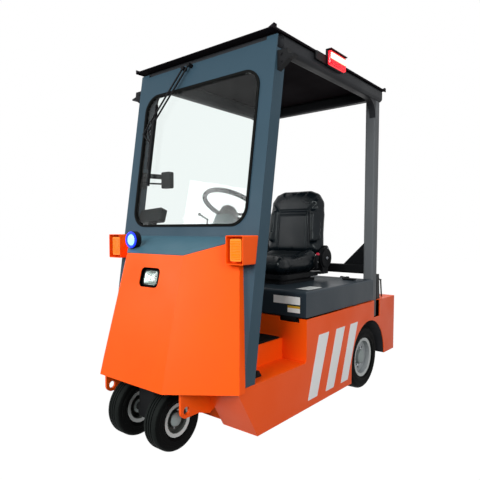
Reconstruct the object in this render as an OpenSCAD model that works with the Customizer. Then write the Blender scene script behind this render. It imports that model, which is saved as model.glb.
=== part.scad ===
// Small electric tow tractor with an open cab, twin steered front wheels and two driven rear wheels.
// Millimetres. Front faces -Y, +X is the vehicle's left, +Z is up, z = 0 is the ground.

/* [Running gear] */
// Distance between the front and rear axles
wheelbase = 1404; // [1390:1:1420]
// Rear axle's place along the vehicle
rear_axle_y = 500; // [495:1:505]
// Rear tyre radius
rear_r = 203; // [198:1:206]
// Rear tyre width
rear_tyre_w = 106; // [98:1:108]
// Rear rim's bead radius
rear_rim_r = 120; // [114:1:126]
// Gap from a rear tyre to the side panel
rear_wheel_gap = 19; // [16:1:22]
// Gap from a rear tyre to its arch
arch_gap = 50; // [46:1:54]
// Front tyre radius
front_r = 147; // [144:1:150]
// Front tyre width
front_tyre_w = 88; // [82:1:92]
// Front rim's bead radius
front_rim_r = 74; // [70:1:78]
// Gap between the twin front tyres
twin_gap = 182; // [178:1:186]
// Gap from the steered tyres' sweep to the bulkhead
sweep_gap = 8; // [7:1:12]
// Radius of the front axle shaft
axle_r = 20; // [18:0.5:22]
// Radius of the rear wheel spindles
spindle_r = 30; // [26:0.5:32]
// Radius of the steering spindle
kingpin_r = 32; // [28:1:36]
// Radius of the fork's crown disc
crown_r = 110; // [104:1:116]
// Radius of the drive axle's gear housing
gear_r = 118; // [112:1:124]
// Distance of the axle's carrier plates inboard of the hub flange
carrier_in = 116; // [110:1:120]
// Radius of the drive motor
motor_r = 96; // [90:1:100]
// Running clearance of a shaft in its bore
run_gap = 0.06; // [0.03:0.01:0.09]

/* [Body] */
// Width over the side panels
body_w = 976; // [970:1:984]
// Side panel plate
side_t = 5; // [4:0.5:6]
// Folded sheet of the floor and boxes
sheet_t = 4; // [3:0.5:5]
// Height of the underside
belly_z = 91; // [86:1:96]
// Height of the step and sill
sill_z = 338; // [334:1:342]
// Height of the cab floor
floor_z = 450; // [446:1:456]
// Height of the rear deck
deck_z = 567; // [562:1:572]
// Height of the rear panel's lower edge
rear_z = 183; // [180:1:188]
// Side panels' lower front corner, behind the front axle
toe_back = 202; // [198:1:206]
// Side panels' upper front corner, behind the front axle
brow_back = 62; // [58:1:66]
// Battery box's front wall, ahead of the rear axle
box_fore = 773; // [766:1:780]
// Gap from the wheel arch to the battery box
well_gap = 27; // [24:1:32]
// Rear panel, behind the rear axle
rear_over = 447; // [442:1:452]
// Round in the corner between the sill and the battery box
sill_round = 24; // [18:1:30]
// Height of the traction battery
battery_h = 440; // [430:1:450]
// Room round the traction battery
battery_gap = 30; // [26:1:40]

/* [Nose] */
// Half width of the front facet at its top
nose_top_x = 204; // [198:1:210]
// Half width of the front facet at its foot
nose_foot_x = 227; // [222:1:232]
// Foremost line of the nose, ahead of the front axle
nose_reach = 149; // [146:1:152]
// How far the front facet leans back over its height
nose_slope = 159; // [155:1:163]
// Height of the front facet's top
nose_top_z = 920; // [915:1:925]
// Height of the nose's lower edge
nose_foot_z = 321; // [318:1:326]
// Height of the nose's rear top corners
nose_rear_top_z = 990; // [986:1:994]
// Step of the nose's rear foot out from the side panels
nose_out = 7; // [6:1:9]
// Step of the nose's rear top in from the windscreen frame
nose_in = 88; // [84:1:92]
// Nose sheet
nose_t = 4; // [3:0.5:5]
// Width of the headlamp opening
lamp_w = 138; // [130:1:146]
// Height of the headlamp opening
lamp_h = 96; // [90:1:102]
// Headlamp's middle, up the front facet
lamp_up = 505; // [495:1:515]
// Radius of the spot lamp
spot_r = 44; // [40:1:48]
// Spot lamp's place to the vehicle's right
spot_x = 212; // [206:1:218]
// Width of a turn indicator's guard
guard_w = 100; // [94:1:104]
// Height of a turn indicator's guard
guard_h = 130; // [124:1:134]
// Height of the turn indicators' middle
guard_z = 948; // [944:1:952]

/* [Front frame] */
// Half distance between the front plates' outer faces
plate_x = 280; // [278:1:284]
// Front plate thickness
plate_t = 12; // [10:1:14]
// Front plates' front edge, ahead of the front axle
plate_fore = 83; // [80:1:86]
// Height of the front plates' lower edge
plate_low = 200; // [196:1:204]
// Radius of the lashing holes
lash_r = 18; // [16:0.5:20]
// Lashing holes, ahead of the front axle
lash_fore = 48; // [45:1:51]
// Height of the lashing holes
lash_z = 233; // [230:1:236]

/* [Cab] */
// Step of the windscreen frame in from the side panels
frame_in = 3; // [2:1:5]
// Rake of the windscreen, degrees
rake = 8.74; // [8.2:0.02:9.2]
// Foot of the raked plane at the ground, behind the front axle
screen_back = 52.7; // [50:0.1:55]
// Depth of the pillars
pillar_d = 78; // [74:1:82]
// Width of the pillars
pillar_w = 62; // [58:1:64]
// Face plate of the windscreen frame
face_t = 6; // [5:0.5:8]
// Step from the roof's top down to the face plate's top
face_drop = 35; // [32:1:38]
// Round of the face plate's top corners
face_round = 30; // [26:1:34]
// Step of the window opening in from the frame's edge
window_in = 75; // [72:1:80]
// Height of the window opening's foot
window_low = 1054; // [1048:1:1060]
// Step from the roof's top down to the window opening
window_drop = 159; // [154:1:164]
// Corner radius of the window
window_r = 96; // [86:1:104]
// Width of the gasket's section
seal_w = 12; // [10:1:14]
// Length of the wiper blade
wiper_l = 465; // [455:5:475]
// Step of the roof sheet out from the side panels
roof_out = 4; // [3:1:6]
// Front edge of the roof, behind the front axle
roof_fore = 309; // [304:1:314]
// Rear edge of the roof, behind the rear axle
roof_aft = 214; // [208:1:220]
// Height of the roof's top
roof_z = 1965; // [1960:1:1970]
// Roof sheet
roof_t = 4; // [3:0.5:5]
// Width of the roof rails
rail_w = 70; // [66:1:74]
// Height of the roof rails
rail_h = 78; // [74:1:82]
// Radius of the rounded door corners
door_r = 110; // [100:1:120]
// Rear post size, square
post_w = 70; // [66:1:74]
// Rear face of the rear posts, behind the rear axle
post_aft = 174; // [170:1:178]
// Step of the rear posts in from the side panels
post_in = 18; // [15:1:22]
// Height of the rear crossbeam's middle over the hood
beam_rise = 59; // [55:1:65]
// Height of the crossbeam's gussets
gusset_h = 159; // [150:1:168]
// Height of the dash's top
dash_z = 1000; // [990:1:1010]
// Rear edge of the dash, behind the front axle
dash_back = 304; // [298:1:308]
// Height of the dash's rear wall
dash_h = 120; // [110:1:130]
// Width of the rear-view device
view_w = 72; // [68:1:78]
// Height of the rear-view device
view_h = 94; // [88:1:98]
// Height of the rear-view device's middle
view_z = 1324; // [1315:1:1335]
// Width of the terminal on the dash
terminal_w = 184; // [178:1:190]
// Distance of the terminal's stand from the right pillar
terminal_in = 82.6; // [80:0.1:86]
// Length of a red roof light
red_l = 188; // [182:1:194]
// Height of a red roof light
red_h = 86; // [80:1:90]

/* [Hood and seat] */
// Step of the hood in from the side panels
hood_in = 7; // [6:1:9]
// Gap from the hood to the rear posts
hood_gap = 16; // [14:1:20]
// Gap from the hood's lower edge to the deck
hood_lift = 7; // [6:1:9]
// Height of the hood
hood_h = 137; // [132:1:142]
// Hood sheet
hood_t = 4; // [3:0.5:5]
// Round of the hood's edges
hood_round = 16; // [12:1:20]
// Radius of the hinge pins
hinge_r = 6; // [5:0.5:7]
// Place of each hinge, from the centre line
hinge_x = 270; // [260:1:280]
// Length of each hinge pin
hinge_l = 60; // [54:2:66]
// Place of the latch, to the vehicle's left
latch_x = 380; // [372:1:388]
// Width of the latch
latch_w = 84; // [78:1:90]
// Seat width
seat_w = 448; // [440:1:456]
// Depth of the seat cushion
seat_l = 440; // [430:1:450]
// Thickness of the seat cushion
pad_t = 106; // [100:1:110]
// Height of the seat cushion over the hood
seat_rise = 165; // [160:1:170]
// Height of the backrest over the cushion
back_h = 441; // [434:1:446]
// Front of the seat cushion, behind the battery box's front wall
seat_fore = 173; // [165:1:180]

/* [Steering] */
// Radius of the steering wheel to the middle of its rim
wheel_r = 158; // [154:1:162]
// Rim section radius
rim_r = 13; // [11:0.5:15]
// Tilt of the column from upright, degrees
column_tilt = 31; // [30:1:32]
// Place of the wheel, to the vehicle's left
wheel_x = 45; // [42:1:48]
// Middle of the wheel, behind the front axle
wheel_back = 542; // [538:1:546]
// Middle of the wheel's height
wheel_z = 1172; // [1168:1:1180]
// Radius of the column's shaft in the hub
shaft_r = 11; // [9:0.5:13]
// Radius of the column's tube
tube_r = 24; // [22:1:26]
// Width of the column's cowl
cowl_w = 116; // [110:1:120]
// Radius of the wheel's hub
hub_r = 48; // [44:1:52]

/* [Tow coupling] */
// Rearmost point of the coupling, behind the rear panel
tow_reach = 106; // [100:1:112]
// Radius of the draw pin's bore
tow_pin_r = 16; // [14:0.5:18]
// Height of the coupling's middle
tow_z = 330; // [325:1:335]
// Half width of the jaw plates
jaw_r = 48; // [46:1:52]
// Jaw plate thickness
jaw_t = 16; // [14:1:18]
// Gap between the jaw plates
jaw_gap = 60; // [56:1:64]

/* [Hidden] */
$fn = 64;
orange = "#f2601c";
slate = "#46525f";
dark = "#3a3c40";
black = "#18191b";
silver = "#b9bcbf";
front_axle_y = rear_axle_y - wheelbase;
side_out = body_w / 2;
side_in = side_out - side_t;
front_wheel_x = (twin_gap + front_tyre_w) / 2;
rear_wheel_x = side_in - rear_wheel_gap - rear_tyre_w / 2;
bulkhead_y = front_axle_y + norm([twin_gap / 2 + front_tyre_w, front_r]) + sweep_gap;
toe_y = front_axle_y + toe_back;
brow_y = front_axle_y + brow_back;
riser_x = plate_x + plate_t + 43;
arch_r = rear_r + arch_gap;
arch_y = rear_axle_y + arch_gap * 0.4;
arch_z = rear_r - 11;
arch_top = arch_z + arch_r;
box_y = rear_axle_y - box_fore;
box_back_y = arch_y - arch_r - well_gap;
rear_y = rear_axle_y + rear_over;
nose_foot_y = front_axle_y - nose_reach;
nose_top_y = nose_foot_y + nose_slope;
frame_x = side_out - frame_in;
nose_rear_x = side_out + nose_out;
nose_rear_top_x = frame_x - nose_in;
nose_lean = atan(nose_slope / (nose_top_z - nose_foot_z));
plate_y = front_axle_y - plate_fore;
head_z = front_r * 2 + 38;
head_h = floor_z - sheet_t - head_z - 22;
screen_y0 = front_axle_y + screen_back;
face_top_z = roof_z - face_drop;
rail_top = roof_z - roof_t;
pillar_top_z = rail_top - rail_h;
window_x = frame_x - window_in;
window_high = roof_z - window_drop;
roof_x = side_out + roof_out;
roof_front = front_axle_y + roof_fore;
roof_back = rear_axle_y + roof_aft;
rail_x = roof_x - 8 - rail_w / 2;
post_back = rear_axle_y + post_aft;
post_front = post_back - post_w;
post_x = side_out - post_in;
post_foot = arch_top + 10;
hood_x = side_out - hood_in;
hood_back = post_front - hood_gap;
hood_low = deck_z + hood_lift;
hood_z = hood_low + hood_h;
hinge_y = hood_back + hinge_r + 5;
hinge_z = hood_z - hinge_r;
beam_z = hood_z + beam_rise;
seat_z = hood_z + seat_rise;
seat_top_z = seat_z + back_h;
seat_y = box_y + seat_fore;
pan_z = seat_z - pad_t - 2;
dash_y = front_axle_y + dash_back;
wheel_y = front_axle_y + wheel_back;
tow_y = rear_y + tow_reach;
guard_x = frame_x - 2 - guard_w / 2;
guard_y = screen_y0 + guard_z * tan(rake);
red_y = (roof_front + roof_back) / 2 - 78;
shelf_t = 4;
shelf_y = facet_y(nose_rear_top_x, nose_rear_top_z);
shelf_slope = atan((nose_rear_top_z - nose_top_z) / (shelf_y - nose_top_y));
spot_y = nose_top_y + 26;
spot_z = nose_top_z + spot_r + 22;
red_z = roof_z - 8;
dash_fore = screen_y(dash_z) + face_t + 0.3;
back_y = seat_y + seat_l + 40;
cover_r = pad_t * 0.68;
cap_y = screen_y(roof_z) + 50;

// Place along y of the windscreen frame's front face at a height z
function screen_y(z) = screen_y0 + z * tan(rake);
// Length up the raked plane that reaches height z
function up(z) = z / cos(rake);
// Nose side facet: place along y of a point on the facet at x and z
function facet_y(x, z) = let (
    a = [nose_foot_x, nose_foot_y, nose_foot_z],
    b = [nose_rear_x, brow_y - 3, nose_foot_z],
    c = [nose_top_x, nose_top_y, nose_top_z],
    n = cross(b - a, c - a))
  a.y - (n.x * (x - a.x) + n.z * (z - a.z)) / n.y;
// Place along y of the slanted undercut at a height z
function undercut_y(z) = toe_y + (brow_y - toe_y) * (z - belly_z) / (nose_foot_z - belly_z);
// Height of the dash's top at a place y
function dash_top(y) = dash_z - 10 * (y - dash_fore) / (dash_y - dash_fore);
// Place along y of the dash's rear wall at a height z
function dash_wall(z) = dash_y + 15 * (dash_z - 10 - z) / dash_h;
// Place along y of the column's middle line at a height z
function column_y(z) = wheel_y - (wheel_z - z) * tan(column_tilt);

// Extrude a drawing of (y, z) along x
module along_x(x0, x1) {
  translate([x0, 0, 0]) rotate([90, 0, 90]) linear_extrude(x1 - x0) children();
}
// Extrude a drawing of (x, z) along y
module along_y(y0, y1) {
  translate([0, y1, 0]) rotate([90, 0, 0]) linear_extrude(y1 - y0) children();
}
// Extrude a drawing of (x, y) along z
module along_z(z0, z1) {
  translate([0, 0, z0]) linear_extrude(z1 - z0) children();
}
// The same piece on both sides of the vehicle
module both() {
  children();
  mirror([1, 0, 0]) children();
}
// Revolve a drawing of (radius, along) about an axis parallel to x
module about_x(x, y, z) {
  translate([x, y, z]) rotate([0, 90, 0]) rotate_extrude($fn = 96) children();
}
// Rectangle with round corners, centred
module rrect(w, h, r) {
  square([w - 2 * r, h], center = true);
  square([w, h - 2 * r], center = true);
  for (i = [-1, 1], j = [-1, 1]) translate([i * (w / 2 - r), j * (h / 2 - r)]) circle(r);
}
// Stand a piece drawn upright on the windscreen's raked plane
module raked() {
  translate([0, screen_y0, 0]) rotate([-rake, 0, 0]) children();
}
// All that lies behind a plane moved rearward from the windscreen's face
module behind_screen(depth) {
  raked() translate([-body_w, depth, 0]) cube([2 * body_w, body_w, 2 * roof_z]);
}
// Stand a piece drawn upright on the nose's front facet
module nose_face() {
  translate([0, nose_foot_y, nose_foot_z]) rotate([-nose_lean, 0, 0]) children();
}
// Lay a piece drawn flat on the shelf behind the nose
module on_shelf() {
  translate([0, nose_top_y, nose_top_z]) rotate([shelf_slope, 0, 0]) children();
}
// Lean a piece drawn upright about the steering wheel's middle
module on_column() {
  translate([wheel_x, wheel_y, wheel_z]) rotate([-column_tilt, 0, 0]) children();
}
// Quarter-round web that fills the corner of two members, drawn in its own (u, v)
module corner_web(r) {
  difference() {
    square([r, r]);
    translate([r, r]) circle(r);
  }
}
// Round bar between two points
module bar(a, b, r) {
  d = b - a;
  translate(a) rotate([0, atan2(norm([d.x, d.y]), d.z), atan2(d.y, d.x)]) cylinder(h = norm(d), r = r, $fn = 24);
}

// Side plates with the sill, the wheel arch and the notch for the rear post
module side_panels() color(orange) both() along_x(side_in, side_out) difference() {
  union() {
    polygon([[toe_y, belly_z], [rear_axle_y, belly_z], [rear_axle_y, rear_z], [rear_y, rear_z],
      [rear_y, deck_z], [box_y, deck_z], [box_y, sill_z], [brow_y, sill_z], [brow_y, nose_foot_z]]);
    translate([box_y, sill_z]) mirror([1, 0]) corner_web(sill_round);
  }
  translate([arch_y, arch_z]) circle(arch_r);
  translate([arch_y - arch_r, 0]) square([2 * arch_r, arch_z]);
  translate([post_front - 12, post_foot]) square([post_w + 24, deck_z]);
}

// Cab floor, risers and steps folded from one sheet
module floor_pan() color(orange) along_y(screen_y(sill_z), box_y) polygon([
  [-riser_x, floor_z], [riser_x, floor_z], [riser_x, sill_z], [side_in, sill_z],
  [side_in, sill_z - sheet_t], [riser_x - sheet_t, sill_z - sheet_t],
  [riser_x - sheet_t, floor_z - sheet_t], [sheet_t - riser_x, floor_z - sheet_t],
  [sheet_t - riser_x, sill_z - sheet_t], [-side_in, sill_z - sheet_t], [-side_in, sill_z],
  [-riser_x, sill_z]]);

// Ribbed rubber mat on the cab floor
module floor_mat() color(black) difference() {
  along_z(floor_z, floor_z + 6) translate([0, (screen_y(floor_z) + pillar_d + box_y) / 2])
    rrect(2 * riser_x - 16, box_y - screen_y(floor_z) - pillar_d - 16, 12);
  for (y = [box_y - 30 : -24 : screen_y(floor_z) + pillar_d + 24])
    translate([20 - riser_x, y, floor_z + 3]) cube([2 * riser_x - 40, 8, 10]);
}

// Battery box: belly plate open over the front wheels, front wall with the latch notch, rear wall
module battery_box() color(orange) difference() {
  along_x(-side_in, side_in) polygon([[toe_y, belly_z], [box_back_y, belly_z],
    [box_back_y, deck_z - sheet_t], [box_back_y - sheet_t, deck_z - sheet_t],
    [box_back_y - sheet_t, belly_z + sheet_t], [box_y + sheet_t, belly_z + sheet_t],
    [box_y + sheet_t, deck_z], [box_y, deck_z], [box_y, belly_z + sheet_t], [toe_y, belly_z + sheet_t]]);
  translate([latch_x - latch_w / 2 - 20, box_y - 1, deck_z - 22]) cube([latch_w + 40, sheet_t + 2, 40]);
  translate([-plate_x, toe_y - 1, belly_z - 1]) cube([2 * plate_x, bulkhead_y - toe_y + 1, sheet_t + 2]);
}

// Rear deck and rear panel, one bent sheet with notches for the posts
module rear_deck() color(orange) difference() {
  along_x(-side_in, side_in) polygon([[box_back_y - sheet_t, deck_z - sheet_t],
    [rear_y - sheet_t, deck_z - sheet_t], [rear_y - sheet_t, rear_z], [rear_y, rear_z], [rear_y, deck_z],
    [box_back_y - sheet_t, deck_z]]);
  both() translate([post_x - post_w, post_front, deck_z - 50]) cube([side_out, post_w, 100]);
}

// Upright plates beside the front wheels, each with a rounded toe, a scalloped foot and a lashing hole
module front_plates() color(orange) both() difference() {
  along_x(plate_x - plate_t, plate_x) {
    translate([plate_y, plate_low]) {
      polygon([[0, 32], [32, 0], [117, 0], [187, -24], [257, 14], [287, -10],
        [bulkhead_y + sheet_t - plate_y, -10], [bulkhead_y + sheet_t - plate_y, floor_z - sheet_t - plate_low],
        [27, floor_z - sheet_t - plate_low], [0, 130]]);
      translate([32, 32]) circle(32);
    }
  }
  translate([plate_x - 2 * plate_t, front_axle_y - lash_fore, lash_z]) rotate([0, 90, 0])
    cylinder(h = 4 * plate_t, r = lash_r);
}

// Bearing plate, tube and gussets that carry the steering spindle
module steer_head() color(dark) difference() {
  inner = plate_x - plate_t;
  union() {
    along_z(head_z, head_z + 16) translate([-inner, plate_y + plate_t])
      square([2 * inner, bulkhead_y - plate_y - plate_t]);
    translate([0, front_axle_y, head_z]) cylinder(h = head_h, r = kingpin_r + 22);
    for (a = [0, 180]) translate([0, front_axle_y, head_z + 15]) rotate([0, 0, a])
      rotate([90, 0, 0]) translate([kingpin_r + 16, 0, -6]) linear_extrude(12)
      polygon([[0, 0], [inner / 3, 0], [0, head_h * 0.75]]);
  }
  translate([0, front_axle_y, head_z - 5]) cylinder(h = head_h + 10, r = kingpin_r + run_gap);
}

// Slanted plates that undercut the front beside the front plates, and the bulkhead behind the wheels
module lower_front() color(orange) {
  foot = belly_z + sheet_t;
  both() along_x(plate_x, side_in) polygon([[undercut_y(foot), foot], [undercut_y(foot) + 5, foot],
    [brow_y + 5, nose_foot_z], [brow_y, nose_foot_z]]);
  along_x(plate_t - plate_x, plate_x - plate_t) translate([bulkhead_y, foot])
    square([sheet_t, floor_z - sheet_t - foot]);
}

// Nose as a solid, its wall moved in by an inset
module nose_solid(inset) {
  tx = nose_top_x - inset * 0.6;
  fx = nose_foot_x - inset * 0.6;
  rx = nose_rear_x - inset;
  rt = nose_rear_top_x - inset;
  low = nose_foot_z - (inset > 0 ? 1 : 0);
  lift = inset > 0 ? 3 : 0;
  back = pillar_d;
  ry = facet_y(nose_rear_x, nose_foot_z) + inset * 0.35;
  ty = shelf_y + inset * 0.35;
  ring = [[-rx, ry + back, low], [-rx, ry, low], [-fx, nose_foot_y + inset, low],
    [fx, nose_foot_y + inset, low], [rx, ry, low], [rx, ry + back, low]];
  top = [[-rt, ty + back, nose_rear_top_z + lift], [-rt, ty, nose_rear_top_z + lift],
    [-tx, nose_top_y + inset, nose_top_z + lift], [tx, nose_top_y + inset, nose_top_z + lift],
    [rt, ty, nose_rear_top_z + lift], [rt, ty + back, nose_rear_top_z + lift]];
  hull() polyhedron(concat(ring, top), [[0, 1, 2, 3, 4, 5], [11, 10, 9, 8, 7, 6],
    for (i = [0 : 5]) [i, i + 6, (i + 1) % 6 + 6, (i + 1) % 6]]);
}

// Three-facet nose sheet with the headlamp opening
module nose_panel() color(orange) difference() {
  nose_solid(0);
  nose_solid(nose_t);
  behind_screen(0);
  nose_face() along_y(-lamp_h, lamp_h) translate([0, lamp_up]) rrect(lamp_w, lamp_h, lamp_h / 4);
}

// Sloping slate shelf between the nose's top edges and the windscreen frame
module cowl_shelf() color(slate) difference() {
  rise = (shelf_y - nose_top_y) / cos(shelf_slope);
  on_shelf() linear_extrude(shelf_t) polygon([[-nose_top_x, 0], [nose_top_x, 0], [nose_rear_top_x, rise],
    [nose_rear_top_x, 2 * rise], [-nose_rear_top_x, 2 * rise], [-nose_rear_top_x, rise]]);
  behind_screen(0);
}

// Raked windscreen frame: face plate with rounded top corners, pillars and header
module windscreen_frame() color(slate) difference() {
  raked() {
    along_y(0, face_t) {
      translate([0, (up(floor_z) + up(face_top_z)) / 2 + 2])
        rrect(2 * frame_x, up(face_top_z) - up(floor_z) - 4, face_round);
      translate([-frame_x, up(floor_z) + 1]) square([2 * frame_x, up(window_low) - up(floor_z)]);
    }
    both() translate([frame_x - pillar_w, 0, up(sill_z) - 20])
      cube([pillar_w, pillar_d, up(roof_z) - up(sill_z)]);
    translate([-frame_x, 0, up(window_high) + 6])
      cube([2 * frame_x, pillar_d * 0.56, up(pillar_top_z) - up(window_high) - 6]);
  }
  raked() along_y(-pillar_d, 2 * pillar_d) translate([0, (up(window_low) + up(window_high)) / 2])
    rrect(2 * window_x, up(window_high) - up(window_low), window_r);
  translate([-body_w, screen_y0, sill_z - 100]) cube([2 * body_w, -screen_y0, 100]);
  difference() {
    translate([-body_w, screen_y0, pillar_top_z]) cube([2 * body_w, -screen_y0, 200]);
    raked() translate([-body_w, -1, 0]) cube([2 * body_w, face_t + 1, 2 * roof_z]);
  }
}

// Outline of the window opening, drawn in by an inset
module window_outline(inset) {
  translate([0, (up(window_low) + up(window_high)) / 2])
    rrect(2 * (window_x - inset), up(window_high) - up(window_low) - 2 * inset, window_r - inset);
}

// Rubber gasket round the windscreen
module windscreen_seal() color(black) raked() along_y(-8, 14) difference() {
  window_outline(0);
  window_outline(seal_w);
}

// Windscreen
module windscreen_glass() color("#b8cdd2", 0.35) raked() along_y(0, 6) window_outline(seal_w);

// Pantograph wiper: two arms from the header, a yoke and the blade, parked at the vehicle's right
module wiper() color(black) raked() {
  reach = [-wiper_l * 0.59, 0, -wiper_l * 0.71];
  heads = [[-112, -24, up(face_top_z) - 24], [-69, -24, up(face_top_z) - 14]];
  blade = [heads[0].x + reach.x + 84, -9.5, heads[0].z + reach.z - 70];
  for (h = heads) {
    translate([h.x, 0, h.z]) rotate([90, 0, 0]) cylinder(h = 30, r = 11);
    bar(h, h + reach, 5);
    bar(h + reach, [blade.x, -24, blade.z], 5);
    translate(h + reach) sphere(r = 6);
  }
  translate(blade) {
    translate([-4, -16, -wiper_l / 2]) cube([8, 16, wiper_l]);
    translate([-9, -24, -wiper_l * 0.3]) cube([18, 10, wiper_l * 0.6]);
  }
}

// Roof sheet with turned-down side lips and small upturned corner tips
module roof_sheet() color(dark) {
  along_y(roof_front, roof_back) difference() {
    translate([-roof_x, rail_top - 6]) square([2 * roof_x, roof_t + 6]);
    translate([roof_t - roof_x, rail_top - 7]) square([2 * (roof_x - roof_t), 7]);
  }
  both() for (y = [roof_front, roof_back - 24])
    along_y(y, y + 24) polygon([[roof_x - 34, roof_z], [roof_x, roof_z], [roof_x, roof_z + 14]]);
}

// Roof side rails with domed front ends, cross tubes and the rounded door corners
module roof_rails() color(dark) {
  pillar_back = screen_y(pillar_top_z) + pillar_d / cos(rake);
  start = screen_y(roof_z) + face_t + 4;
  both() {
    translate([rail_x, 0, rail_top - rail_h / 2]) along_y(cap_y, post_back) rrect(rail_w, rail_h, 22);
    translate([rail_x - 2, cap_y, rail_top - rail_h / 2]) sphere(r = rail_h / 2 - 2);
    difference() {
      translate([0, pillar_back, pillar_top_z]) mirror([0, 0, 1]) along_x(rail_x - 20, rail_x + 20) {
        corner_web(door_r);
        translate([-30, 0]) square([30.1, door_r]);
      }
      raked() cube([body_w, pillar_d, 2 * roof_z]);
    }
    translate([0, post_front, pillar_top_z]) mirror([0, 0, 1]) mirror([0, 1, 0])
      along_x(rail_x - 20, rail_x + 20) corner_web(door_r);
  }
  translate([0, start + 26, rail_top - 34]) along_x(-rail_x, rail_x) rrect(52, 68, 14);
  translate([0, post_back - 34, rail_top - 34]) along_x(-rail_x, rail_x) rrect(60, 68, 14);
}

// Black brackets that stand out from the tops of the windscreen pillars
module pillar_brackets() color(black) both() {
  top = pillar_top_z - 17;
  near = screen_y(top) + 8;
  along_y(near, near + pillar_d * 0.44) translate([frame_x, top])
    polygon([[0, -88], [0, 0], [56, 0], [60, -26], [94, -34], [92, -42], [60, -46]]);
}

// Rear posts, square tubes with rounded corners
module rear_posts() color(dark) both() translate([post_x - post_w / 2, post_back - post_w / 2, 0])
  along_z(post_foot, rail_top - rail_h) rrect(post_w, post_w, 12);

// Crossbeam between the rear posts with its end gussets
module crossbeam() color(black) {
  inner = post_x - post_w;
  middle = post_back - post_w / 2;
  translate([0, middle, beam_z]) along_x(-inner, inner) rrect(50, 60, 8);
  both() along_y(middle - 5, middle + 5) translate([inner, beam_z + 28])
    polygon([[0, 0], [0, gusset_h], [-gusset_h, 0]]);
}

// Dash: a folded sheet behind the windscreen's foot
module dash() color(slate) along_x(pillar_w - frame_x, frame_x - pillar_w) polygon([
  [dash_fore, dash_z], [dash_y, dash_z - 10], [dash_wall(dash_z - dash_h), dash_z - dash_h],
  [dash_wall(dash_z - dash_h) - 5, dash_z - dash_h], [dash_y - 5, dash_z - 15], [dash_fore, dash_z - 6]]);

// Steering column: shaft, tube down to the face plate, rounded cowl and the bracket to the dash
module steering_column() color(black) {
  difference() {
    on_column() {
      translate([0, 0, -wheel_z]) cylinder(h = wheel_z - 82, r = tube_r);
      translate([0, 0, -86]) cylinder(h = 66, r = shaft_r);
      translate([0, 0, -200]) along_z(0, 120) rrect(cowl_w, 84, 26);
      translate([0, 0, -260]) cylinder(h = 61, r1 = tube_r, r2 = 42);
    }
    raked() translate([-body_w, -body_w, 0]) cube([2 * body_w, body_w + face_t + 0.3, 2 * roof_z]);
    translate([-body_w, front_axle_y - roof_z, 0]) cube([2 * body_w, 2 * roof_z, floor_z + 0.2]);
  }
  along_x(wheel_x - 34, wheel_x + 34) polygon([[dash_wall(dash_z - 30), dash_z - 30],
    [dash_wall(dash_z - 110), dash_z - 110], [column_y(dash_z - 110), dash_z - 110],
    [column_y(dash_z - 30), dash_z - 30]]);
}

// Bent direction lever on the column, the two pedals on the floor and the stop on the left step
module driver_controls() color(black) {
  root_z = wheel_z - 124;
  root = [wheel_x - cowl_w / 2 - 0.1, column_y(root_z), root_z];
  rod = [root - [8, 0, 0], root + [-46, -12, 22], root + [-41, -14, 48], root + [-103, -14, 78]];
  translate(root) rotate([0, -90, 0]) cylinder(h = 14, r = 12);
  for (i = [0 : 2]) {
    bar(rod[i], rod[i + 1], 5);
    translate(rod[i + 1]) sphere(r = i == 2 ? 9 : 6);
  }
  for (x = [riser_x * 0.18, riser_x * 0.57]) translate([x, dash_y - 40, floor_z + 6]) along_x(0, 80)
    polygon([[0, 0], [80, 0], [0, 84], [-12, 78], [-8, 0]]);
  translate([0, dash_y - 52, sill_z]) along_x(side_in - 88, side_in - 46)
    polygon([[0, 0], [50, 0], [30, 30], [16, 30]]);
}

// Rear-view device on two arms from the right pillar, and the terminal on the dash
module cab_devices() color(black) {
  wall = frame_x - pillar_w;
  clamp_y = screen_y(view_z) + pillar_d / 2;
  device = [view_w / 2 + 99 - wall, screen_y(view_z) + pillar_d + 17, view_z];
  translate([-wall, clamp_y - 20, view_z - view_h / 2]) cube([10, 40, view_h]);
  for (s = [-1, 1])
    bar([8 - wall, clamp_y, view_z + 8 + s * 22], device + [10 - view_w / 2, 12, s * 20], s > 0 ? 14 : 5);
  translate(device) along_y(0, 30) rrect(view_w, view_h, 10);
  translate(device) along_y(28, 33) rrect(view_w - 16, view_h - 16, 6);
  stand = [terminal_in - wall, dash_y - 40, dash_y - 14];
  along_x(stand.x, stand.x + 44) polygon([[stand.y, dash_top(stand.y) + 0.1], [stand.z, dash_top(stand.z) + 0.1],
    [stand.z, dash_z + 96], [stand.y, dash_z + 96]]);
  translate([stand.x + 22, stand.y - 4, dash_z + 122]) rotate([-20, -4, 0]) along_y(0, 40) rrect(terminal_w, 76, 12);
}

// Traction battery, one plain block
module battery() color("#4b4f52") {
  half = side_in - battery_gap * 2.77;
  translate([-half, box_y + battery_gap, belly_z + sheet_t])
    cube([2 * half, box_back_y - box_y - 2 * battery_gap, battery_h]);
}

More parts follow.
